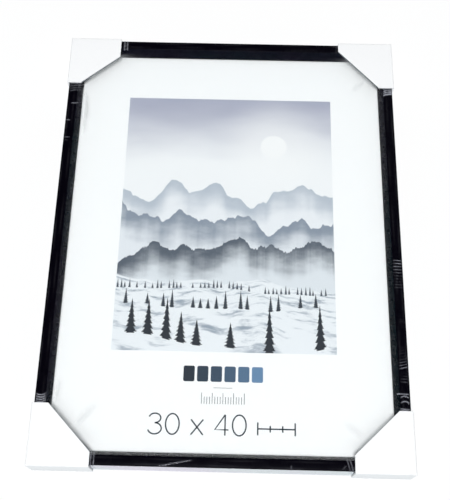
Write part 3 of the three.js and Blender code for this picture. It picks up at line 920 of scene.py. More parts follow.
class Surface:
    """Meshes worked out as whole arrays of points."""

    @staticmethod
    def build(
        name: str, points: np.ndarray, faces: list[list[int]], material: bpy.types.Material
    ) -> bpy.types.Object:
        """Makes one smooth-shaded object of points and faces, with its faces pointing out.

        Args:
            name: The piece's name.
            points: The points in metres, one to a row.
            faces: Each face's point numbers.
            material: The piece's finish.

        Returns:
            The object, which sits at the origin with its place in its mesh.
        """
        mesh = bpy.data.meshes.new(name)
        mesh.from_pydata(points.tolist(), [], faces)
        mesh.validate()
        work = bmesh.new()
        work.from_mesh(mesh)
        bmesh.ops.remove_doubles(work, verts=work.verts, dist=WELD)
        bmesh.ops.recalc_face_normals(work, faces=work.faces)
        work.to_mesh(mesh)
        work.free()
        mesh.shade_smooth()
        mesh.materials.append(material)
        return placed(name, mesh)

    @staticmethod
    def vectors(items: bpy.types.bpy_prop_collection, name: str) -> np.ndarray:
        """One vector of each of a mesh's points or faces, one to a row."""
        values = np.empty(len(items) * 3)
        items.foreach_get(name, values)
        return values.reshape(-1, 3)

    @staticmethod
    def grid_faces(rows: int, columns: int, close_rows: bool, close_columns: bool) -> list[list[int]]:
        """Numbers the quads of a grid of points.

        Quad (r, c) joins the points (r, c), (r + 1, c), (r + 1, c + 1) and (r, c + 1), and a closed way
        joins its last points to its first.

        Args:
            rows: How many rows of points there are.
            columns: How many points a row has.
            close_rows: Whether the last row joins the first.
            close_columns: Whether a row's last point joins its first.

        Returns:
            The quads' point numbers.
        """
        r, c = np.meshgrid(
            np.arange(rows - (not close_rows)), np.arange(columns - (not close_columns)), indexing="ij"
        )
        after_r, after_c = (r + 1) % rows, (c + 1) % columns
        corners = [(r, c), (after_r, c), (after_r, after_c), (r, after_c)]
        return np.stack([(a * columns + b).ravel() for a, b in corners], axis=1).tolist()

    @staticmethod
    def tube_faces(rings: int, sides: int) -> list[list[int]]:
        """Numbers the quads of a tube that is made of rings of points, and its two end faces."""
        ends = [list(range(sides)), list(range((rings - 1) * sides, rings * sides))]
        return Surface.grid_faces(rings, sides, False, True) + ends

    @staticmethod
    def tube(path: np.ndarray, radius: float, sides: int) -> tuple[np.ndarray, list[list[int]]]:
        """A round wire along a flat path in X and Y, with flat ends.

        Point (i, j) is path i plus the radius times cos a of the path's normal and sin a of +Z, where a
        is j turns over the sides.

        Args:
            path: The centre line's points, in X and Y.
            radius: The wire's radius.
            sides: How many sides the wire's section has.

        Returns:
            The points and the faces.
        """
        across = Lines.lefts(path)
        a = np.arange(sides) * 2 * np.pi / sides
        flat = path[:, None, :] + radius * np.cos(a)[None, :, None] * across[:, None, :]
        up = np.broadcast_to(radius * np.sin(a)[None, :, None], (*flat.shape[:2], 1))
        points = np.concatenate([flat, up], axis=2).reshape(-1, 3)
        return points, Surface.tube_faces(len(path), sides)

    @staticmethod
    def revolved(profile: np.ndarray, steps: int) -> tuple[np.ndarray, list[list[int]]]:
        """A body of revolution about Z.

        Point (i, j) is profile i's radius times cos a and sin a, at its height, where a is j turns over
        the steps. The profile starts and ends on the axis.

        Args:
            profile: Radius and height of each point.
            steps: How many steps go round.

        Returns:
            The points and the faces.
        """
        a = np.arange(steps) * 2 * np.pi / steps
        radius = profile[:, 0][:, None]
        height = np.broadcast_to(profile[:, 1][:, None], (len(profile), steps))
        points = np.stack([radius * np.cos(a), radius * np.sin(a), height], axis=2).reshape(-1, 3)
        return points, Surface.grid_faces(len(profile), steps, False, True)


def placed(name: str, data: bpy.types.ID) -> bpy.types.Object:
    """Puts a mesh, a lamp or a camera into the scene as an object at the origin.

    Args:
        name: The object's name.
        data: What it shows.

    Returns:
        The new object.
    """
    made = bpy.data.objects.new(name, data)
    bpy.context.scene.collection.objects.link(made)
    return made


def refined(node: str, name: str, material: bpy.types.Material, edge: float) -> bpy.types.Object:
    """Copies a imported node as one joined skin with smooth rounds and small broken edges.

    Args:
        node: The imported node.
        name: The new piece's name.
        material: The finish.
        edge: The width of the broken edges, or 0 for none.

    Returns:
        The new piece, where the node is.
    """
    mesh = frame["nodes"][node].data.copy()
    mesh.name = name
    work = bmesh.new()
    work.from_mesh(mesh)
    bmesh.ops.remove_doubles(work, verts=work.verts, dist=PACKED_WELD)
    bmesh.ops.dissolve_limit(work, angle_limit=FLAT_ANGLE, verts=work.verts, edges=work.edges)
    work.to_mesh(mesh)
    work.free()
    mesh.materials.clear()
    mesh.materials.append(material)
    mesh.shade_smooth()
    mesh.set_sharp_from_angle(angle=ROUND_ANGLE)
    made = placed(name, mesh)
    if edge:
        bevel = made.modifiers.new("edges", "BEVEL")
        bevel.width = edge
        bevel.segments = 2
        bevel.limit_method = "ANGLE"
        bevel.angle_limit = EDGE_ANGLE
    return made


def assign(node: str, material: bpy.types.Material) -> None:
    """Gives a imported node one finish.

    Args:
        node: The node's name.
        material: The finish.
    """
    for slot in frame["nodes"][node].material_slots:
        slot.material = material
    LOG.info("dressed %s with %s", node, material.name)


def seat(piece: bpy.types.Object, body: str, slot: str, *nodes: str) -> None:
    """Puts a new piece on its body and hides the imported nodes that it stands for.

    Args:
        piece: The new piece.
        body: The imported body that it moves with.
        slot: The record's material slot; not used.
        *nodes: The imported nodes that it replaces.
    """
    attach(piece, body)
    if nodes:
        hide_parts(*nodes)
    LOG.info("made %s on %s", piece.name, body)


@dataclass(frozen=True)
class Folds:
    """A run of sharp little folds across a rail, in millimetres.

    They lie from start to end along the rail, counted from its middle to the right or the head, a pitch
    apart. Each crosses the rail between two depths in from the front's outer edge, leaned by so much
    along the rail for each millimetre across it, and bowed between its ends. Its number in the run moves
    it a little and changes its width and height a little, by the three shares of change.
    """

    start: float
    end: float
    pitch: float
    height: float
    width: float = 0.45
    outer: float = 0.5
    inner: float = 8.3
    lean: float = 0.0
    bow: float = 0.0
    softness: float = 0.25
    place_change: float = 0.22
    width_change: float = 0.25
    height_change: float = 0.28

    def relief(self, s: np.ndarray, w: np.ndarray) -> np.ndarray:
        """The folds' height at places along and across a rail.

        It is the sum over the folds of height times exp(-(d / width)^2), where d is the distance along
        the rail from the leaned and bowed line, faded at both depths.

        Args:
            s: The place along the rail, in millimetres.
            w: The depth in from the front's outer edge, in millimetres.

        Returns:
            The height at each place, in millimetres.
        """
        count = int(round(abs(self.end - self.start) / self.pitch)) + 1
        total = np.zeros(np.broadcast(s, w).shape)
        middle = (self.outer + self.inner) / 2
        share = (w - middle) / max(self.inner - self.outer, 1e-6)
        fade = 1 / (1 + np.exp((self.outer - w) / self.softness))
        fade = fade / (1 + np.exp((w - self.inner) / self.softness))
        for i, centre in enumerate(np.linspace(self.start, self.end, count)):
            shake = math.sin(12.9 * i + 3.1 * self.start)
            line = centre + self.place_change * self.pitch * shake + self.lean * (w - middle)
            line = line + self.bow * (1 - 4 * share**2)
            width = self.width * (1 + self.width_change * math.cos(5.3 * i))
            height = self.height * (1 - self.height_change + self.height_change * shake)
            total = total + height * np.exp(-(((s - line) / width) ** 2))
        return total * fade


@dataclass(frozen=True)
class WindowFold:
    """One long soft fold in the film over the opening, between two places, in millimetres."""

    start: tuple[float, float]
    end: tuple[float, float]
    height: float
    width: float = 1.0

    def relief(self, x: np.ndarray, y: np.ndarray) -> np.ndarray:
        """The fold's height: height times exp(-(d / width)^2), d the distance from its line.

        Args:
            x: The place across the frame, in millimetres.
            y: The place along the frame, in millimetres.

        Returns:
            The height at each place, in millimetres.
        """
        along_x, along_y = self.end[0] - self.start[0], self.end[1] - self.start[1]
        length = along_x**2 + along_y**2
        t = ((x - self.start[0]) * along_x + (y - self.start[1]) * along_y) / length
        held = np.clip(t, 0, 1)
        d2 = (x - self.start[0] - held * along_x) ** 2 + (y - self.start[1] - held * along_y) ** 2
        return self.height * np.exp(-d2 / self.width**2) * np.sin(np.pi * np.clip(t, 0.02, 0.98)) ** 0.5


@dataclass
class ShrinkFilm:
    """The clear film shrunk over the rails and stretched across the opening, under the card corners."""

    plan: Plan
    lift: float = 0.06 * MILLIMETRE
    back_hem: float = 4.0 * MILLIMETRE
    corner_radius: float = 0.15 * MILLIMETRE
    spacing: float = 0.6 * MILLIMETRE
    pitch: float = 0.5 * MILLIMETRE
    window_pitch: float = 1.25 * MILLIMETRE
    pressed: float = 1.5 * MILLIMETRE
    pressed_share: float = 0.08
    fold_growth: float = 1.5
    fold_limit: float = 0.9
    rail_ripple: float = 0.02
    window_ripple: float = 0.05
    seam_fade: float = 1.5 * MILLIMETRE
    sight_fade: float = 3.0 * MILLIMETRE
    slight_fold: float = 0.1
    full_crease: float = 0.4
    long_lines: tuple[tuple[float, float], ...] = ((1.7, 0.02), (6.2, 0.016))
    long_line_width: float = 0.5
    wander: float = 0.35
    haze: float = 0.3
    haze_reach: float = 4.0 * MILLIMETRE
    haze_clear: float = 2.0 * MILLIMETRE
    haze_fade: float = 7.0 * MILLIMETRE

    def folds(self, side: Side) -> list[Folds]:
        """The folds on a rail."""
        runs = {
            Side.LEFT: [
                Folds(149.5, 157.0, 2.3, 0.42, 0.6, 1.0, 12.0, 0.12, 0.5),
                Folds(134.7, 134.7, 1.0, 0.34, 0.5, 3.8, 11.0, 0.05),
                Folds(115.7, 115.7, 1.0, 0.26, 0.6, 0.3, 4.6, -0.05),
                Folds(110.5, 112.5, 2.0, 0.10, 0.6, 0.3, 5.0),
                Folds(97.1, 97.1, 1.0, 0.34, 0.5, 0.4, 6.2, 0.03),
                Folds(93.6, 93.6, 1.0, 0.16, 0.5, 0.4, 4.6, 0.03),
                Folds(-118.0, -118.0, 1.0, 0.2, 5.0, 7.6, 11.4, -12.0),
                Folds(-157.8, -149.6, 1.9, 0.42, 0.42, 1.0, 9.5, 0.1, -1.4),
            ],
            Side.RIGHT: [
                Folds(150.6, 157.6, 2.2, 0.5, 0.6, 0.4, 8.6, -0.22, 0.5),
                Folds(22.0, 50.0, 4.0, 0.07, 0.5, 3.5, 6.5),
                Folds(1.5, 5.0, 3.5, 0.12, 0.6, 1.5, 7.5, 0.0),
                Folds(-47.3, -22.6, 2.75, 0.34, 0.42, 0.5, 8.4, 0.04),
                Folds(-51.0, -57.0, 3.0, 0.16, 0.6, 2.0, 8.4, 0.12),
                Folds(-98.0, -77.8, 1.7, 0.13, 0.35, 0.8, 6.5, 0.02),
                Folds(-121.0, -102.0, 2.9, 0.24, 0.45, 0.6, 8.2, -0.25),
                Folds(-133.0, -125.0, 2.6, 0.18, 0.5, 0.8, 8.0, 0.05),
                Folds(-142.8, -142.8, 1.0, 0.46, 0.5, 1.0, 11.2, 0.03),
                Folds(-151.5, -147.0, 4.0, 0.3, 0.5, 1.0, 8.2, 0.0, 1.5),
                Folds(-157.5, -156.0, 1.6, 0.34, 0.45, 0.5, 9.0, 0.06),
            ],
            Side.BOTTOM: [
                Folds(-107.2, -104.9, 2.3, 0.3, 0.42, -18.0, 12.0, 0.03, 0.4),
                Folds(57.1, 57.1, 1.0, 0.2, 0.4, -1.0, 4.0, 0.1),
                Folds(-38.0, -38.0, 1.0, 0.18, 2.0, 0.8, 6.5, 5.0),
                Folds(8.0, 8.0, 1.0, 0.16, 2.5, 0.8, 5.5, -6.0),
                Folds(104.9, 107.3, 2.4, 0.5, 0.5, -20.0, 10.0, -0.12, 1.6),
                Folds(100.5, 100.5, 1.0, 0.3, 0.5, 0.5, 5.0, 0.9),
            ],
            Side.TOP: [
                Folds(-107.0, -104.2, 2.6, 0.3, 0.5, -8.0, 11.0, 0.02),
                Folds(-60.0, -60.0, 1.0, 0.1, 4.0, 1.0, 7.0, 9.0),
                Folds(30.0, 30.0, 1.0, 0.1, 4.0, 1.0, 7.0, -9.0),
                Folds(104.5, 107.4, 2.6, 0.24, 0.5, -8.0, 11.0, -0.03),
            ],
        }
        return runs[side]

    def window_folds(self) -> list[WindowFold]:
        """The folds in the film over the opening."""
        return [
            WindowFold((-142.4, 152.0), (-139.4, 103.0), 0.5, 1.3),
            WindowFold((-140.2, 146.0), (-138.0, 118.0), 0.35, 1.2),
            WindowFold((-126.0, -180.0), (-108.0, -160.0), 0.24, 2.6),
            WindowFold((-142.0, -163.0), (-139.0, -138.0), 0.3, 1.6),
            WindowFold((121.0, -184.0), (104.0, -170.0), 0.2, 2.4),
            WindowFold((134.0, 171.0), (120.0, 156.0), 0.22, 2.4),
        ]

    def section(self) -> np.ndarray:
        """The film's line round a rail, as distance out from the sight edge and height.

        It starts under the rail's back, goes up the outer side and over the front to the sight edge.

        Returns:
            The line's points, closest together in its bends.
        """
        out = self.plan.rail_width + self.lift
        top = self.plan.rail_front + self.lift
        under = self.plan.rail_back - self.lift
        corners = np.array([[out - self.back_hem, under], [out, under], [out, top], [0.0, top]])
        return Lines.filled(Lines.rounded(corners, self.corner_radius), self.spacing)

    def skin(self, side: Side, material: bpy.types.Material) -> bpy.types.Object:
        """Makes one rail's film.

        Point (s, t) is the section's point t carried to s along the rail and moved out along the
        section's normal by the folds' relief, which the card corners press down. At each t the film ends
        where it meets the next rail's, on the mitre. The crease attribute goes from 0 at a slight fold's
        relief to 1 at a full crease's, and is slight on a few long lines that wander along the rail.

        Args:
            side: The rail.
            material: The film's finish.

        Returns:
            The film, one sheet.
        """
        sight, sight_along = self.plan.sight_y, self.plan.sight_x
        if not side.horizontal:
            sight, sight_along = sight_along, sight
        section = self.section()
        normal = -Lines.lefts(section)
        walked = Lines.walked(section)
        depth = walked - (walked[-1] - self.plan.rail_width)
        count = int(2 * (sight_along + self.plan.rail_width) / self.pitch)
        share, t = np.meshgrid(np.linspace(-1, 1, count), np.arange(len(section)), indexing="ij")
        s = share * (sight_along + section[t, 0])
        w = depth[t] / MILLIMETRE
        ahead = s / MILLIMETRE * (1 if side in (Side.TOP, Side.LEFT) else -1)
        folded = np.sum([run.relief(ahead, w) for run in self.folds(side)], axis=0)
        waves = np.sin(0.19 * ahead + 0.3 * w) * np.cos(0.083 * ahead - 0.5 * w)
        ripple = self.rail_ripple * (1 + waves)
        seam = np.clip((walked[-1] - walked[t]) / self.seam_fade, 0, 1)
        opened = self._open(side, ahead * MILLIMETRE) * seam
        relief = np.minimum(ripple + self.fold_growth * folded, self.fold_limit) * opened * MILLIMETRE
        out = section[t, 0] + relief * normal[t, 0]
        up = section[t, 1] + relief * normal[t, 1]
        points = np.stack([s, sight + out, up], axis=2).reshape(-1, 3) @ side.turn.T
        faces = Surface.grid_faces(*s.shape, False, False)
        made = Surface.build(f"shrink_film_{side.name.lower()}", points, faces, material)
        crease = (folded - self.slight_fold) / (self.full_crease - self.slight_fold)
        for place, level in self.long_lines:
            middle = place + self.wander * np.sin(0.037 * ahead + 9 * place)
            line = level * np.exp(-(((w - middle) / self.long_line_width) ** 2))
            crease = np.maximum(crease, line * (1 + np.sin(0.11 * ahead + place)))
        crease = np.clip(crease, 0, 1) * opened
        self._mark(made, crease)
        return made

    @staticmethod
    def _mark(made: bpy.types.Object, crease: np.ndarray) -> None:
        """Keeps how milky the film is at each of its points, from 0 to 1, as its crease attribute."""
        layer = made.data.attributes.new("crease", "FLOAT", "POINT")
        layer.data.foreach_set("value", crease.astype(np.float32).ravel())

    def _open(self, side: Side, ahead: np.ndarray) -> np.ndarray:
        """The share of the relief that the card corners leave at places along a rail.

        It is 1 between the two card corners and falls to the pressed share a little way under each.

        Args:
            side: The rail.
            ahead: The places, counted from the rail's middle to the right or the head.

        Returns:
            The share at each place.
        """
        axis, outer = (0, self.plan.outer_x) if side.horizontal else (1, self.plan.outer_y)
        left = np.full(ahead.shape, np.inf)
        for cut in self.plan.cuts.values():
            if cut.signs[1 - axis] == side.value[1 - axis]:
                left = np.minimum(left, outer - cut.signs[axis] * ahead - cut.leg(side.horizontal))
        return np.clip(1 + left / self.pressed, self.pressed_share, 1)

    def window(self, material: bpy.types.Material) -> bpy.types.Object:
        """Makes the film across the opening.

        The height is the folds' relief, faded to nothing at the rails and pressed down by the card
        corners' front flaps. The crease attribute is the haze times exp(-d / its reach), where d is the
        distance from the nearest flap's cut, faded at the rails, or the folds' relief where that is more.

        Args:
            material: The film's finish.

        Returns:
            The film, one sheet.
        """
        half_x, half_y = self.plan.sight_x, self.plan.sight_y
        columns, rows = int(2 * half_x / self.window_pitch), int(2 * half_y / self.window_pitch)
        x, y = np.meshgrid(
            np.linspace(-half_x, half_x, columns), np.linspace(-half_y, half_y, rows), indexing="ij"
        )
        edge = np.minimum(half_x - np.abs(x), half_y - np.abs(y))
        ripple = self.window_ripple * (1 + np.sin(x * 41 + 3 * np.sin(y * 17)) * np.cos(y * 29))
        folds = [fold.relief(x / MILLIMETRE, y / MILLIMETRE) for fold in self.window_folds()]
        folded = np.sum(folds, axis=0)
        relief = (ripple + folded) * MILLIMETRE * np.clip(edge / self.sight_fade, 0, 1)
        past = np.min([cut.past(x, y) for cut in self.plan.cuts.values()], axis=0)
        relief = relief * np.clip(1 + past / self.pressed, self.pressed_share, 1)
        z = self.plan.rail_front + self.lift + relief
        points = np.stack([x, y, z], axis=2).reshape(-1, 3)
        faces = Surface.grid_faces(*x.shape, False, False)
        made = Surface.build("shrink_film_window", points, faces, material)
        clear_of_rails = np.clip((edge - self.haze_clear) / self.haze_fade, 0, 1)
        haze = self.haze * np.exp(-np.abs(past) / self.haze_reach) * clear_of_rails
        self._mark(made, np.clip(np.maximum(haze, folded), 0, 1))
        return made

    def build(self) -> None:
        """Makes the four rails' film and the film across the opening."""
        finish = FilmFinish().material()
        for side in Side:
            seat(self.skin(side, finish), FIXED_BODY, "clear_film")
        taut = FilmFinish(
            name="taut_film", tint=(0.999, 1.0, 1.0), fold_tint=(0.9, 0.94, 0.97),
            milk_tint=(0.955, 0.985, 1.0), slant_power=6.0, milk=0.95, patchy=0.15,
        )
        seat(self.window(taut.material()), FIXED_BODY, "clear_film", "shrink_film")


@dataclass
class Rails:
    """The four mitred rails and the wedges that join them."""

    plan: Plan
    wedge_colour: Colour = (0.33, 0.34, 0.36)
    wedge_roughness: float = 0.38
    packed_round: float = 0.8 * MILLIMETRE
    foil_round: float = 0.15 * MILLIMETRE

    def build(self) -> None:
        """Makes the rails with smooth rounds in their foil and gives the wedges their steel."""
        foil = FoilFinish(self.plan).material()
        for side in Side:
            rail = refined(side.node, side.node + "_foil", foil, 0.0)
            self._tighten(rail.data)
            seat(rail, FIXED_BODY, "black_foil", side.node)
        steel = SteelFinish("wedge_steel", self.wedge_colour, self.wedge_roughness).material()
        for corner in CORNERS:
            assign("corner_wedge_" + corner, steel)

    def _tighten(self, mesh: bpy.types.Mesh) -> None:
        """Draws the round of a rail's outer front edge tight, as the foil is wrapped.

        A point of the round keeps its direction from the sharp corner, and its distance is multiplied by
        the foil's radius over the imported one. It moves out by as much along X as along Y, so that the
        mitres keep their planes.

        Args:
            mesh: The rail's mesh.
        """
        points = Surface.vectors(mesh.vertices, "co")
        outer = np.array([self.plan.outer_x, self.plan.outer_y])
        inset = (outer - np.abs(points[:, :2])).min(axis=1)
        below = self.plan.rail_front - points[:, 2]
        limit = self.packed_round + NEAR
        share = np.where((inset < limit) & (below < limit), 1 - self.foil_round / self.packed_round, 0)
        points[:, :2] += np.sign(points[:, :2]) * (inset * share)[:, None]
        points[:, 2] += below * share
        mesh.vertices.foreach_set("co", points.ravel())
        mesh.update()


@dataclass
class Insert:
    """The printed insert: white paper with a picture, a tone scale, a ruled line, ticks and its size."""

    plan: Plan
    ink_lift: float = 0.02 * MILLIMETRE
    ink_thickness: float = 0.02 * MILLIMETRE
    picture_left: float = -0.0985
    picture_right: float = 0.0985
    picture_foot: float = -0.107
    picture_head: float = 0.1495
    patch_row: float = -0.1265
    patch_width: float = 0.0097
    patch_height: float = 0.0138
    patch_pitch: float = 0.0118
    patch_radius: float = 0.0016
    patch_steps: int = 24
    rule_row: float = -0.1388
    rule_length: float = 0.016
    rule_width: float = 0.00035
    tick_row: float = -0.1525
    tick_pitch: float = 0.00228
    tick_width: float = 0.00045
    tick_height: float = 0.0062
    tick_long: float = 0.0095
    ticks_each_side: int = 8
    long_tick_every: int = 4
    number_foot: float = -0.1789
    number_height: float = 0.0174
    number_stroke: float = 0.0012
    number_starts: tuple[float, ...] = (-0.0625, -0.0476, -0.0262, -0.006, 0.0089)
    bar_left: float = 0.0302
    bar_right: float = 0.0617
    bar_row: float = -0.1727
    bar_tick: float = 0.0108
    bar_marks: tuple[tuple[float, float], ...] = ((0.0, 1.0), (1 / 3, 0.5), (2 / 3, 0.5), (1.0, 1.0))
    ink: Colour = (0.012, 0.023, 0.038)
    tones: tuple[float, ...] = (1.0, 1.7, 2.7, 4.2, 6.5, 10.0)

    def build(self) -> None:
        """Makes the print and dresses the paper."""
        assign("printed_insert", PaperFinish().material())
        seat(self._picture(), FIXED_BODY, "printed_paper")
        dark = InkFinish("ink_dark", self.ink).material()
        for i, tone in enumerate(self.tones):
            shade = tuple(c * tone for c in self.ink)
            patch = self._patch(i, InkFinish(f"ink_tone_{i + 1}", shade).material())
            seat(patch, FIXED_BODY, "printed_paper")
        for piece in (self._ticks, self._numbers, self._bar):
            seat(piece(dark), FIXED_BODY, "printed_paper")

    def _flat(self, name: str, outlines: list[np.ndarray], material: bpy.types.Material) -> bpy.types.Object:
        """Makes ink of closed outlines, each a thin slab on the paper.

        Args:
            name: The piece's name.
            outlines: Each slab's outline in X and Y, round to the left.
            material: The ink.

        Returns:
            The piece.
        """
        low = self.plan.insert_front + self.ink_lift
        points: list[np.ndarray] = []
        faces: list[list[int]] = []
        for line in outlines:
            count = len(line)
            base = sum(len(p) for p in points)
            for z in (low, low + self.ink_thickness):
                points.append(np.column_stack([line, np.full(count, z)]))
            ring = np.arange(count)
            after = (ring + 1) % count
            sides = np.stack([ring, after, after + count, ring + count], axis=1) + base
            faces += [(ring[::-1] + base).tolist(), (ring + base + count).tolist(), *sides.tolist()]
        made = Surface.build(name, np.concatenate(points), faces, material)
        made.data.shade_flat()
        return made

    @staticmethod
    def _box(left: float, foot: float, right: float, head: float) -> np.ndarray:
        """A rectangle's outline."""
        return np.array([[left, foot], [right, foot], [right, head], [left, head]])

    def _picture(self) -> bpy.types.Object:
        """Makes the picture's print as one thin slab."""
        finish = PictureFinish(self.picture_foot, self.picture_head)
        line = self._box(self.picture_left, self.picture_foot, self.picture_right, self.picture_head)
        return self._flat("printed_picture", [line], finish.material())

    def _patch(self, index: int, material: bpy.types.Material) -> bpy.types.Object:
        """Makes one patch of the tone scale, an upright rectangle with round corners.

        Its outline is the corner arcs' centres plus the corner radius times cos a and sin a.

        Args:
            index: The patch's place from the left.
            material: The ink.

        Returns:
            The patch.
        """
        centre = (index - (len(self.tones) - 1) / 2) * self.patch_pitch
        inner_x = self.patch_width / 2 - self.patch_radius
        inner_y = self.patch_height / 2 - self.patch_radius
        a = np.linspace(0, 2 * np.pi, self.patch_steps + 1)[:-1] + np.pi / self.patch_steps
        line = np.stack(
            [
                centre + inner_x * np.sign(np.cos(a)) + self.patch_radius * np.cos(a),
                self.patch_row + inner_y * np.sign(np.sin(a)) + self.patch_radius * np.sin(a),
            ],
            axis=1,
        )
        return self._flat(f"tone_patch_{index + 1}", [line], material)

    def _ticks(self, material: bpy.types.Material) -> bpy.types.Object:
        """Makes the ruled line and the row of ticks under it."""
        half = self.rule_length / 2
        lines = [self._box(-half, self.rule_row, half, self.rule_row + self.rule_width)]
        for i in range(-self.ticks_each_side, self.ticks_each_side + 1):
            x = i * self.tick_pitch
            height = self.tick_height if i % self.long_tick_every else self.tick_long
            lines.append(self._box(x, self.tick_row, x + self.tick_width, self.tick_row + height))
        return self._flat("printed_ticks", lines, material)

    def _numbers(self, material: bpy.types.Material) -> bpy.types.Object:
        """Makes the size in plain numbers, each stroke a ribbon along its own line."""
        outlines = []
        for start, strokes in zip(self.number_starts, self._glyphs(self.number_height)):
            for line in strokes:
                outlines.append(self._ribbon(line + np.array([start, self.number_foot])))
        return self._flat("printed_numbers", outlines, material)

    def _bar(self, material: bpy.types.Material) -> bpy.types.Object:
        """Makes the plain dimension bar beside the numbers: a line with four ticks."""
        half = self.number_stroke / 2
        lines = [self._box(self.bar_left, self.bar_row - half, self.bar_right, self.bar_row + half)]
        for share, tall in self.bar_marks:
            x = self.bar_left + share * (self.bar_right - self.bar_left)
            reach = tall * self.bar_tick / 2
            lines.append(self._box(x - half, self.bar_row - reach, x + half, self.bar_row + reach))
        return self._flat("printed_bar", lines, material)

    def _ribbon(self, line: np.ndarray) -> np.ndarray:
        """A stroke's outline: the line moved half a stroke to its right, then back on its left."""
        across = Lines.lefts(line) * self.number_stroke / 2
        return np.concatenate([line - across, (line + across)[::-1]])

    def _glyphs(self, height: float) -> list[list[np.ndarray]]:
        """The figures 30 x 40, each as its strokes from its own left edge and foot."""
        width = 0.66 * height
        bowl = width / 2

        def arc(cx: float, cy: float, rx: float, ry: float, start: float, end: float) -> np.ndarray:
            """An arc of an ellipse between two angles in degrees."""
            a = np.radians(np.linspace(start, end, 33))
            return np.stack([cx + rx * np.cos(a), cy + ry * np.sin(a)], axis=1)

        upper, lower = 0.23 * height, 0.27 * height
        three = [
            arc(bowl, height - upper, 0.86 * bowl, upper, 165, -90),
            arc(bowl, lower, bowl, lower, 90, -165),
        ]
        zero = [arc(bowl, height / 2, bowl, height / 2, 0, 359.9)]
        cross = [
            np.array([[0.0, 0.0], [0.9 * width, 0.74 * height]]),
            np.array([[0.0, 0.74 * height], [0.9 * width, 0.0]]),
        ]
        four = [
            np.array([[0.75 * width, 0.0], [0.75 * width, height]]),
            np.array([[0.75 * width, height], [0.0, 0.27 * height], [width, 0.27 * height]]),
        ]
        return [three, zero, cross, four, zero]


@dataclass
class Strip:
    """Pressed sheet metal: a flat strip bent along a line, its long edges rounded."""

    thickness: float
    edge: float = 0.16 * MILLIMETRE
    across: int = 20

    @staticmethod
    def round_end(half_width: float, start: float = 88.0) -> tuple[np.ndarray, np.ndarray]:
        """A half round end, from an angle at its tip: each step's depth in from it and half width."""
        turned = np.radians(np.linspace(start, 0, 14))
        return half_width * (1 - np.sin(turned)), half_width * np.cos(turned)

    def swept(self, line: np.ndarray, half_width: np.ndarray) -> tuple[np.ndarray, list[list[int]]]:
        """Carries the strip's rounded section along its middle line.

        Point (i, j) is the line's point i, plus the section's depth j along the line's normal, at the
        section's place j across, which goes with the half width there. The section is a rectangle whose
        corners are quarter turns of the edge radius.

        Args:
            line: The middle line's points, as X and Z.
            half_width: Half the strip's width at each point.

        Returns:
            The points and the faces.
        """
        normal = Lines.lefts(line)
        a = np.radians([0, 30, 60, 90])
        flat = np.linspace(1, -1, self.across + 1)[1:-1]
        front, back = np.full(len(flat), np.pi / 2), np.full(len(flat), 1.5 * np.pi)
        corner = np.ones(len(a))
        share = np.concatenate([corner, flat, -corner, -corner, -flat, corner])
        turn = np.concatenate([a, front, a + np.pi / 2, a + np.pi, back, a + 1.5 * np.pi])
        sunk = self.thickness / 2 - self.edge
        lift = np.repeat([1.0, -1.0], len(turn) // 2)
        depth = lift * sunk + self.edge * np.sin(turn)
        side = np.maximum(half_width - self.edge, self.edge / 4)[:, None] * share + self.edge * np.cos(turn)
        x = line[:, 0][:, None] + normal[:, 0][:, None] * depth
        z = line[:, 1][:, None] + normal[:, 1][:, None] * depth
        points = np.stack([x, side, z], axis=2).reshape(-1, 3)
        return points, Surface.tube_faces(len(line), len(turn))


@dataclass
class TurnClip:
    """A turn clip: a strip with a round tip, a pressed stiffening bead and a bent-down thumb lip."""

    thickness: float = 0.8 * MILLIMETRE
    half_width: float = 4.0 * MILLIMETRE
    tip: float = 13.0 * MILLIMETRE
    tail: float = 5.0 * MILLIMETRE
    lip_length: float = 3.2 * MILLIMETRE
    lip_angle: float = 55.0
    bend: float = 1.3 * MILLIMETRE
    tail_cut: float = 1.6 * MILLIMETRE
    bead_start: float = 6.2 * MILLIMETRE
    bead_length: float = 3.0 * MILLIMETRE
    bead_half: float = 1.5 * MILLIMETRE
    bead_height: float = 0.5 * MILLIMETRE
    bend_steps: int = 8
    straight_steps: int = 24

    def shape(self, middle: float) -> tuple[np.ndarray, list[list[int]]]:
        """The clip with its pivot on Z and its tip along +X.

        The half width follows a half circle at the tip. The bead moves both faces down by half its height
        times (1 + cos) of the distance from the bead's line over its half width.

        Args:
            middle: The height of the strip's middle.

        Returns:
            The points and the faces.
        """
        lean = math.radians(self.lip_angle)
        out, down = self.lip_length * math.cos(lean), self.lip_length * math.sin(lean)
        end = np.array([-self.tail - out, middle - down])
        corners = np.array([[0.0, middle], [-self.tail, middle], end])
        bent = Lines.rounded(corners, self.bend, self.bend_steps)
        inset, narrow = Strip.round_end(self.half_width)
        tip_x = self.tip - inset
        straight = np.linspace(tip_x[-1], 0, self.straight_steps)[1:-1]
        x = np.concatenate([tip_x, straight, bent[:, 0]])
        z = np.concatenate([np.full(len(tip_x) + len(straight), middle), bent[:, 1]])
        half = np.full(len(x), self.half_width)
        half[: len(tip_x)] = narrow
        near_end = np.clip((x - end[0]) / self.tail_cut, 0, 1)
        half = half - (1 - np.sqrt(1 - (1 - near_end) ** 2)) * self.tail_cut
        points, faces = Strip(self.thickness).swept(np.stack([x, z], axis=1), half)
        held = np.clip(points[:, 0], self.bead_start, self.bead_start + self.bead_length)
        away = np.hypot(points[:, 0] - held, points[:, 1])
        points[:, 2] -= self.bead_height / 2 * (1 + np.cos(np.pi * np.clip(away / self.bead_half, 0, 1)))
        return points, faces


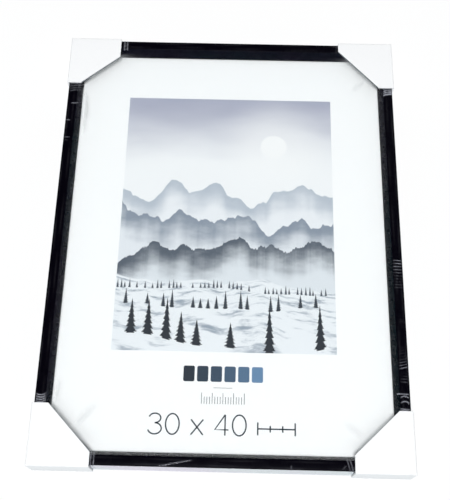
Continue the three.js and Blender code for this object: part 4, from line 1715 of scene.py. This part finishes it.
@dataclass
class StrapHanger:
    """A strap hanger's strip, folded round the ring's wire, and its D-shaped ring."""

    thickness: float = 0.7 * MILLIMETRE
    half_width: float = 4.5 * MILLIMETRE
    length: float = 17.0 * MILLIMETRE
    split: float = 0.2 * MILLIMETRE
    eye_inner: float = 1.2 * MILLIMETRE
    packed_wire: float = 1.0 * MILLIMETRE
    wire: float = 0.98 * MILLIMETRE
    ring_half: float = 8.0 * MILLIMETRE
    ring_side: float = 3.0 * MILLIMETRE
    ring_corner: float = 2.0 * MILLIMETRE
    joint_gap: float = 0.3 * MILLIMETRE
    eye_end: float = -168.0
    neck_reach: float = 1.6
    neck_radius: float = 0.6 * MILLIMETRE
    straight_steps: int = 14
    eye_steps: int = 40
    under_steps: int = 12
    neck_steps: int = 5
    bow_steps: int = 73
    corner_steps: int = 13
    ring_steps: int = 170
    wire_sides: int = 20

    def strap(self, eye_height: float) -> tuple[np.ndarray, list[list[int]]]:
        """The strap with its eye on Y and its tongue along -X.

        The middle line runs along the upper layer, round the eye by arcs, and back along the lower one.
        The half width follows a half circle at the tongue's end.

        Args:
            eye_height: The height of the eye's axis.

        Returns:
            The points and the faces.
        """
        around = self.eye_inner + self.thickness / 2
        upper = eye_height + around
        lower = upper - self.thickness - self.split
        inset, narrow = Strip.round_end(self.half_width)
        end_x = -self.length + inset
        straight = np.linspace(end_x[-1], 0, self.straight_steps)[1:-1]
        a = np.radians(np.linspace(90, self.eye_end, self.eye_steps))
        eye = np.stack([around * np.cos(a), eye_height + around * np.sin(a)], axis=1)
        step = np.array([[-around - self.thickness * self.neck_reach, lower]])
        under = np.linspace(step[0, 0], end_x[-1], self.under_steps)[1:-1]
        corners = np.concatenate([eye[-1:], step, [[under[0], lower]]])
        neck = Lines.rounded(corners, self.neck_radius, self.neck_steps)[1:-1]
        x = np.concatenate([end_x, straight, eye[:, 0], neck[:, 0], under, end_x[::-1]])
        high = np.full(len(end_x) + len(straight), upper)
        low = np.full(len(under) + len(end_x), lower)
        z = np.concatenate([high, eye[:, 1], neck[:, 1], low])
        half = np.full(len(x), self.half_width)
        half[: len(end_x)] = narrow
        half[-len(end_x) :] = narrow[::-1]
        return Strip(self.thickness).swept(np.stack([x, z], axis=1), half)

    def ring(self) -> tuple[np.ndarray, list[list[int]]]:
        """The flat ring with its straight side on Y, its ends meeting there, and its bow along +X."""
        side, corner = self.ring_half, self.ring_corner
        bow = np.radians(np.linspace(90, -90, self.bow_steps))
        turn = np.radians(np.linspace(180, 90, self.corner_steps))
        first = np.stack([corner + corner * np.cos(turn), side - corner + corner * np.sin(turn)], axis=1)
        round_bow = np.stack([self.ring_side + side * np.cos(bow), side * np.sin(bow)], axis=1)
        last = first[::-1] * [1, -1]
        gap = self.joint_gap / 2
        path = np.concatenate([[[0.0, gap]], first, round_bow, last, [[0.0, -gap]]])
        return Surface.tube(Lines.spaced(path, self.ring_steps), self.wire, self.wire_sides)


@dataclass
class Rivet:
    """A hollow rivet: a rolled head below its fitting, a shank, and a foot sunk in the board."""

    shank: float = 1.5 * MILLIMETRE
    bore: float = 0.9 * MILLIMETRE
    bore_depth: float = 2.0 * MILLIMETRE
    head: float = 3.2 * MILLIMETRE
    head_height: float = 1.1 * MILLIMETRE
    head_edge: float = 0.3 * MILLIMETRE
    roll: float = 1.5 * MILLIMETRE
    brow_reach: float = 0.8 * MILLIMETRE
    brow_drop: float = 0.15 * MILLIMETRE
    corner: float = 0.28 * MILLIMETRE
    corner_steps: int = 4
    foot: float = 3.0 * MILLIMETRE
    foot_height: float = 0.45 * MILLIMETRE
    steps: int = 56

    def shape(self, low: float, high: float) -> tuple[np.ndarray, list[list[int]]]:
        """The rivet about Z, its profile rounded at every corner.

        Args:
            low: The height of the head's crown.
            high: The height of the foot's face.

        Returns:
            The points and the faces.
        """
        seat_height = low + self.head_height
        foot_low = high - self.foot_height
        profile = np.array(
            [
                [0.0, low + self.bore_depth],
                [self.bore, low + self.bore_depth],
                [self.bore, low + self.head_edge],
                [self.roll, low],
                [self.roll + self.brow_reach, low + self.brow_drop],
                [self.head, seat_height - self.head_edge],
                [self.head, seat_height],
                [self.shank, seat_height],
                [self.shank, foot_low],
                [self.foot, foot_low],
                [self.foot, high],
                [0.0, high],
            ]
        )
        return Surface.revolved(Lines.rounded(profile, self.corner, self.corner_steps), self.steps)


@dataclass
class Hardware:
    """The steel on the back: turn clips, strap hangers, their wire rings and the rivets they turn on.

    Lands says which way each fitting's tip or ring points, in degrees from +X, by the start of its name.
    """

    plan: Plan
    plating: Colour = (0.6, 0.62, 0.65)
    roughness: float = 0.2
    lands: dict[str, int] = field(
        default_factory=lambda: {
            "top": 90, "left": 180, "bottom": 270, "right": 0, "portrait": 90, "landscape": 0,
        }
    )

    def build(self) -> None:
        """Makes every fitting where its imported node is."""
        steel = SteelFinish("zinc_steel", self.plating, self.roughness).material()
        for joint in frame["joints"]:
            child = joint["child"]
            if child.startswith("turn_clip_"):
                self._clip(child, joint["pos_m"], steel)
            elif child.startswith("hanger_ring_"):
                self._hanger(child, joint["pos_m"], steel)

    def _turned(self, points: np.ndarray, name: str, place: tuple[float, float]) -> np.ndarray:
        """Turns a fitting drawn along +X to point at its rail, and carries it to its place."""
        a = math.radians(self.lands[name])
        turn = np.array([[math.cos(a), -math.sin(a), 0], [math.sin(a), math.cos(a), 0], [0, 0, 1]])
        return points @ turn.T + [place[0], place[1], 0]

    def _sheet(
        self,
        node: str,
        body: str,
        points: np.ndarray,
        faces: list[list[int]],
        steel: bpy.types.Material,
    ) -> None:
        """Makes the strap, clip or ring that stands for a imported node, its cut ends crisp.

        Args:
            node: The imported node.
            body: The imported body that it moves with.
            points: The piece's points.
            faces: The piece's faces.
            steel: The finish.
        """
        made = Surface.build(node + "_plated", points, faces, steel)
        made.data.set_sharp_from_angle(angle=CRISP_ANGLE)
        seat(made, body, "zinc_steel", node)

    def _rivet(self, node: str, steel: bpy.types.Material) -> None:
        """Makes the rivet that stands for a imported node."""
        low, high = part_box(node)
        points, faces = Rivet().shape(low.z, high.z)
        middle = (low + high) / 2
        made = Surface.build(node + "_plated", points + [middle.x, middle.y, 0], faces, steel)
        seat(made, FIXED_BODY, "zinc_steel", node)

    def _clip(self, node: str, pivot: list[float], steel: bpy.types.Material) -> None:
        """Makes one turn clip and its rivet.

        Args:
            node: The clip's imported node.
            pivot: Where it turns.
            steel: The finish.
        """
        name = node.removeprefix("turn_clip_")
        points, faces = TurnClip().shape(pivot[2])
        points = self._turned(points, name.split("_")[0], pivot)
        self._sheet(node, node, points, faces, steel)
        self._rivet("clip_rivet_" + name, steel)

    def _hanger(self, node: str, eye: list[float], steel: bpy.types.Material) -> None:
        """Makes one strap, its ring at the droop that rests near the table, and its rivet.

        Args:
            node: The ring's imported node.
            eye: Where the ring swings.
            steel: The finish.
        """
        name = node.removeprefix("hanger_ring_")
        hanger = StrapHanger()
        points, faces = hanger.strap(eye[2])
        points = self._turned(points, name, eye)
        self._sheet("hanger_strap_" + name, FIXED_BODY, points, faces, steel)
        points, faces = hanger.ring()
        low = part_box(node)[0].z
        drop = eye[2] - hanger.packed_wire - low
        droop = math.asin(drop / (hanger.ring_side + hanger.ring_half))
        flat, deep = math.cos(droop), math.sin(droop)
        tilt = np.array([[flat, 0, deep], [0, 1, 0], [-deep, 0, flat]])
        points = self._turned(points @ tilt.T + [0, 0, eye[2]], name, eye)
        self._sheet(node, node, points, faces, steel)
        self._rivet("hanger_rivet_" + name, steel)


@dataclass
class CardCorners:
    """The four folded card corners."""

    plan: Plan
    broken_edge: float = 0.12 * MILLIMETRE
    facing: float = 0.3

    def build(self) -> None:
        """Dresses each corner in white board."""
        for corner, cut in self.plan.cuts.items():
            node = "card_corner_" + corner
            finish = CardFinish("white_card_" + corner, cut, self.plan.rail_front)
            made = refined(node, node + "_board", finish.material(), self.broken_edge)
            made.data.materials.append(finish.cut_material())
            self._mark_cut_edges(made.data, cut.signs)
            seat(made, node, "white_card", node)

    def _mark_cut_edges(self, mesh: bpy.types.Mesh, signs: tuple[int, int]) -> None:
        """Gives the faces of the slanting cut the cut finish.

        They are the upright faces whose normals point inwards from both rails.

        Args:
            mesh: The corner's mesh.
            signs: The corner's sides of the frame, in X and Y.
        """
        normals = Surface.vectors(mesh.polygons, "normal")
        inward = -normals[:, :2] * signs
        cut = (inward.min(axis=1) > self.facing) & (np.abs(normals[:, 2]) < self.facing)
        mesh.polygons.foreach_set("material_index", cut.astype(np.int32))


@dataclass(frozen=True)
class Lamp:
    """One round lamp at its place in metres, whose strength is what it gives face on."""

    name: str
    place: tuple[float, float, float]
    radius: float
    strength: float
    colour: Colour = (1.0, 1.0, 1.0)


@dataclass
class Studio:
    """The table, the lamp behind the viewer, the pale room and the camera where the photo was taken."""

    focal_pixels: float = 845.2
    long_side_pixels: float = 500.0
    sensor: float = 36.0
    camera_place: tuple[float, float, float] = (0.0055, -0.3041, 0.7292)
    camera_turn: tuple[float, float, float] = (-22.31, -0.54, -1.48)
    table_half: float = 3.0
    lamps: tuple[Lamp, ...] = (Lamp("key_lamp", (-0.04, -0.66, 1.7), 0.28, 2.8),)
    room_light: float = 0.24
    room_colour: Colour = (0.92, 0.97, 1.0)
    light_from_below: float = 1.12
    horizon_span: tuple[float, float] = (-0.15, 0.0)
    ceiling_gloss: float = 0.012
    ceiling_span: tuple[float, float] = (0.2, 0.78)
    side_gloss: float = 0.1
    side_span: tuple[float, float] = (0.05, 0.22)
    nadir_gloss: float = 0.55
    nadir_span: tuple[float, float] = (-1.0, -0.3)
    table_glow: float = 0.82
    table_shade: Colour = (0.96, 0.96, 0.96)
    table_white: Colour = (0.98, 0.98, 0.98)
    nearest: float = 0.01

    def build(self) -> None:
        """Makes the table, lamps, room and camera."""
        self._table()
        for lamp in self.lamps:
            self._lamp(lamp)
        self._room()
        self._camera()

    def _table(self) -> None:
        """Makes the white table top, which keeps the frame's soft shadow.

        Only its upper side is seen, and it lets the room's light from below through to the frame's back,
        so that the back is lit and seen from below.
        """
        g = Graph("table_white")
        paint = g.mix(g.noise(3.0, 2.0), self.table_shade, self.table_white)
        diffuse = g.node("BsdfDiffuse", {"Color": paint}).outputs[0]
        glow = g.node("Emission", {"Color": (1.0, 1.0, 1.0), "Strength": 1.0}).outputs[0]
        path = g.node("LightPath").outputs
        seen = g.math("ADD", path["Is Camera Ray"], path["Is Glossy Ray"])
        seen = g.math("ADD", seen, path["Is Transmission Ray"], clamp=True)
        share = g.math("MULTIPLY", seen, self.table_glow)
        top = g.node("MixShader", {0: share, 1: diffuse, 2: glow}).outputs[0]
        upper = g.math("SUBTRACT", 1.0, g.node("NewGeometry").outputs["Backfacing"])
        there = g.math("MULTIPLY", seen, upper)
        nothing = g.node("BsdfTransparent").outputs[0]
        material = g.finish(g.node("MixShader", {0: there, 1: nothing, 2: top}).outputs[0])
        half = self.table_half
        mesh = bpy.data.meshes.new("table")
        corners = [(-half, -half, 0), (half, -half, 0), (half, half, 0), (-half, half, 0)]
        mesh.from_pydata(corners, [], [[0, 1, 2, 3]])
        mesh.materials.append(material)
        placed("table", mesh)

    def _lamp(self, lamp: Lamp) -> None:
        """Makes one lamp, as bright on the far end of the frame as on the near one.

        Args:
            lamp: The lamp.
        """
        data = bpy.data.lights.new(lamp.name, "POINT")
        data.shadow_soft_size = lamp.radius
        data.energy = 4 * math.pi * lamp.strength
        data.color = lamp.colour
        data.use_nodes = True
        tree = data.node_tree
        falloff = tree.nodes.new("ShaderNodeLightFalloff")
        falloff.inputs["Strength"].default_value = 1.0
        tree.links.new(falloff.outputs["Constant"], tree.nodes["Emission"].inputs["Strength"])
        placed(lamp.name, data).location = lamp.place

    def _room(self) -> None:
        """Makes the room's light: even overhead, brighter below the table, and dark overhead for gloss.

        The level at a direction goes smoothly across each span of its height, or of its X for the side.
        """
        g = RoomGraph("room")
        right, _, up = g.node("SeparateXYZ", {0: g.node("TexCoord").outputs["Generated"]}).outputs
        level = g.step(up, *self.horizon_span, self.light_from_below, self.room_light)
        ceiling = g.step(up, *self.ceiling_span, 1.0, self.ceiling_gloss)
        nadir = g.step(up, *self.nadir_span, self.nadir_gloss, 1.0)
        side = g.step(right, *self.side_span, 0.0, self.side_gloss)
        gloss = g.math("MAXIMUM", g.math("MULTIPLY", ceiling, nadir), side)
        path = g.node("LightPath").outputs
        level = g.blend(path["Is Glossy Ray"], level, gloss)
        level = g.blend(path["Is Transmission Ray"], level, 1.0)
        level = g.blend(path["Is Camera Ray"], level, 1.0)
        paint = g.mix(path["Is Camera Ray"], self.room_colour, (1.0, 1.0, 1.0))
        shader = g.node("Background", {"Color": paint, "Strength": level}).outputs[0]
        bpy.context.scene.world = g.finish(shader)

    def _camera(self) -> None:
        """Makes the camera where the photo was taken from, with the photo's field of view."""
        data = bpy.data.cameras.new("camera")
        data.sensor_width = self.sensor
        data.lens = self.focal_pixels / self.long_side_pixels * self.sensor
        data.clip_start = self.nearest
        camera = placed("camera", data)
        turn_x, turn_y, turn_z = (math.radians(a) for a in self.camera_turn)
        view = Matrix.Rotation(turn_z, 3, "Z") @ Matrix.Rotation(turn_x, 3, "X")
        view = view @ Matrix.Rotation(turn_y, 3, "Y")
        camera.matrix_world = Matrix.Translation(self.camera_place) @ view.transposed().to_4x4()
        bpy.context.scene.camera = camera


def main() -> None:
    """Builds the studio and each sub-assembly in order."""
    logging.basicConfig(level=logging.INFO, format="%(message)s")
    bpy.context.scene.view_settings.view_transform = "Standard"
    plan = Plan.read()
    Studio().build()
    Rails(plan).build()
    assign("glazing", GlassFinish().material(plan))
    Insert(plan).build()
    assign("backing_board", BoardFinish().material())
    Hardware(plan).build()
    CardCorners(plan).build()
    ShrinkFilm(plan).build()


if __name__ == "__main__":
    main()
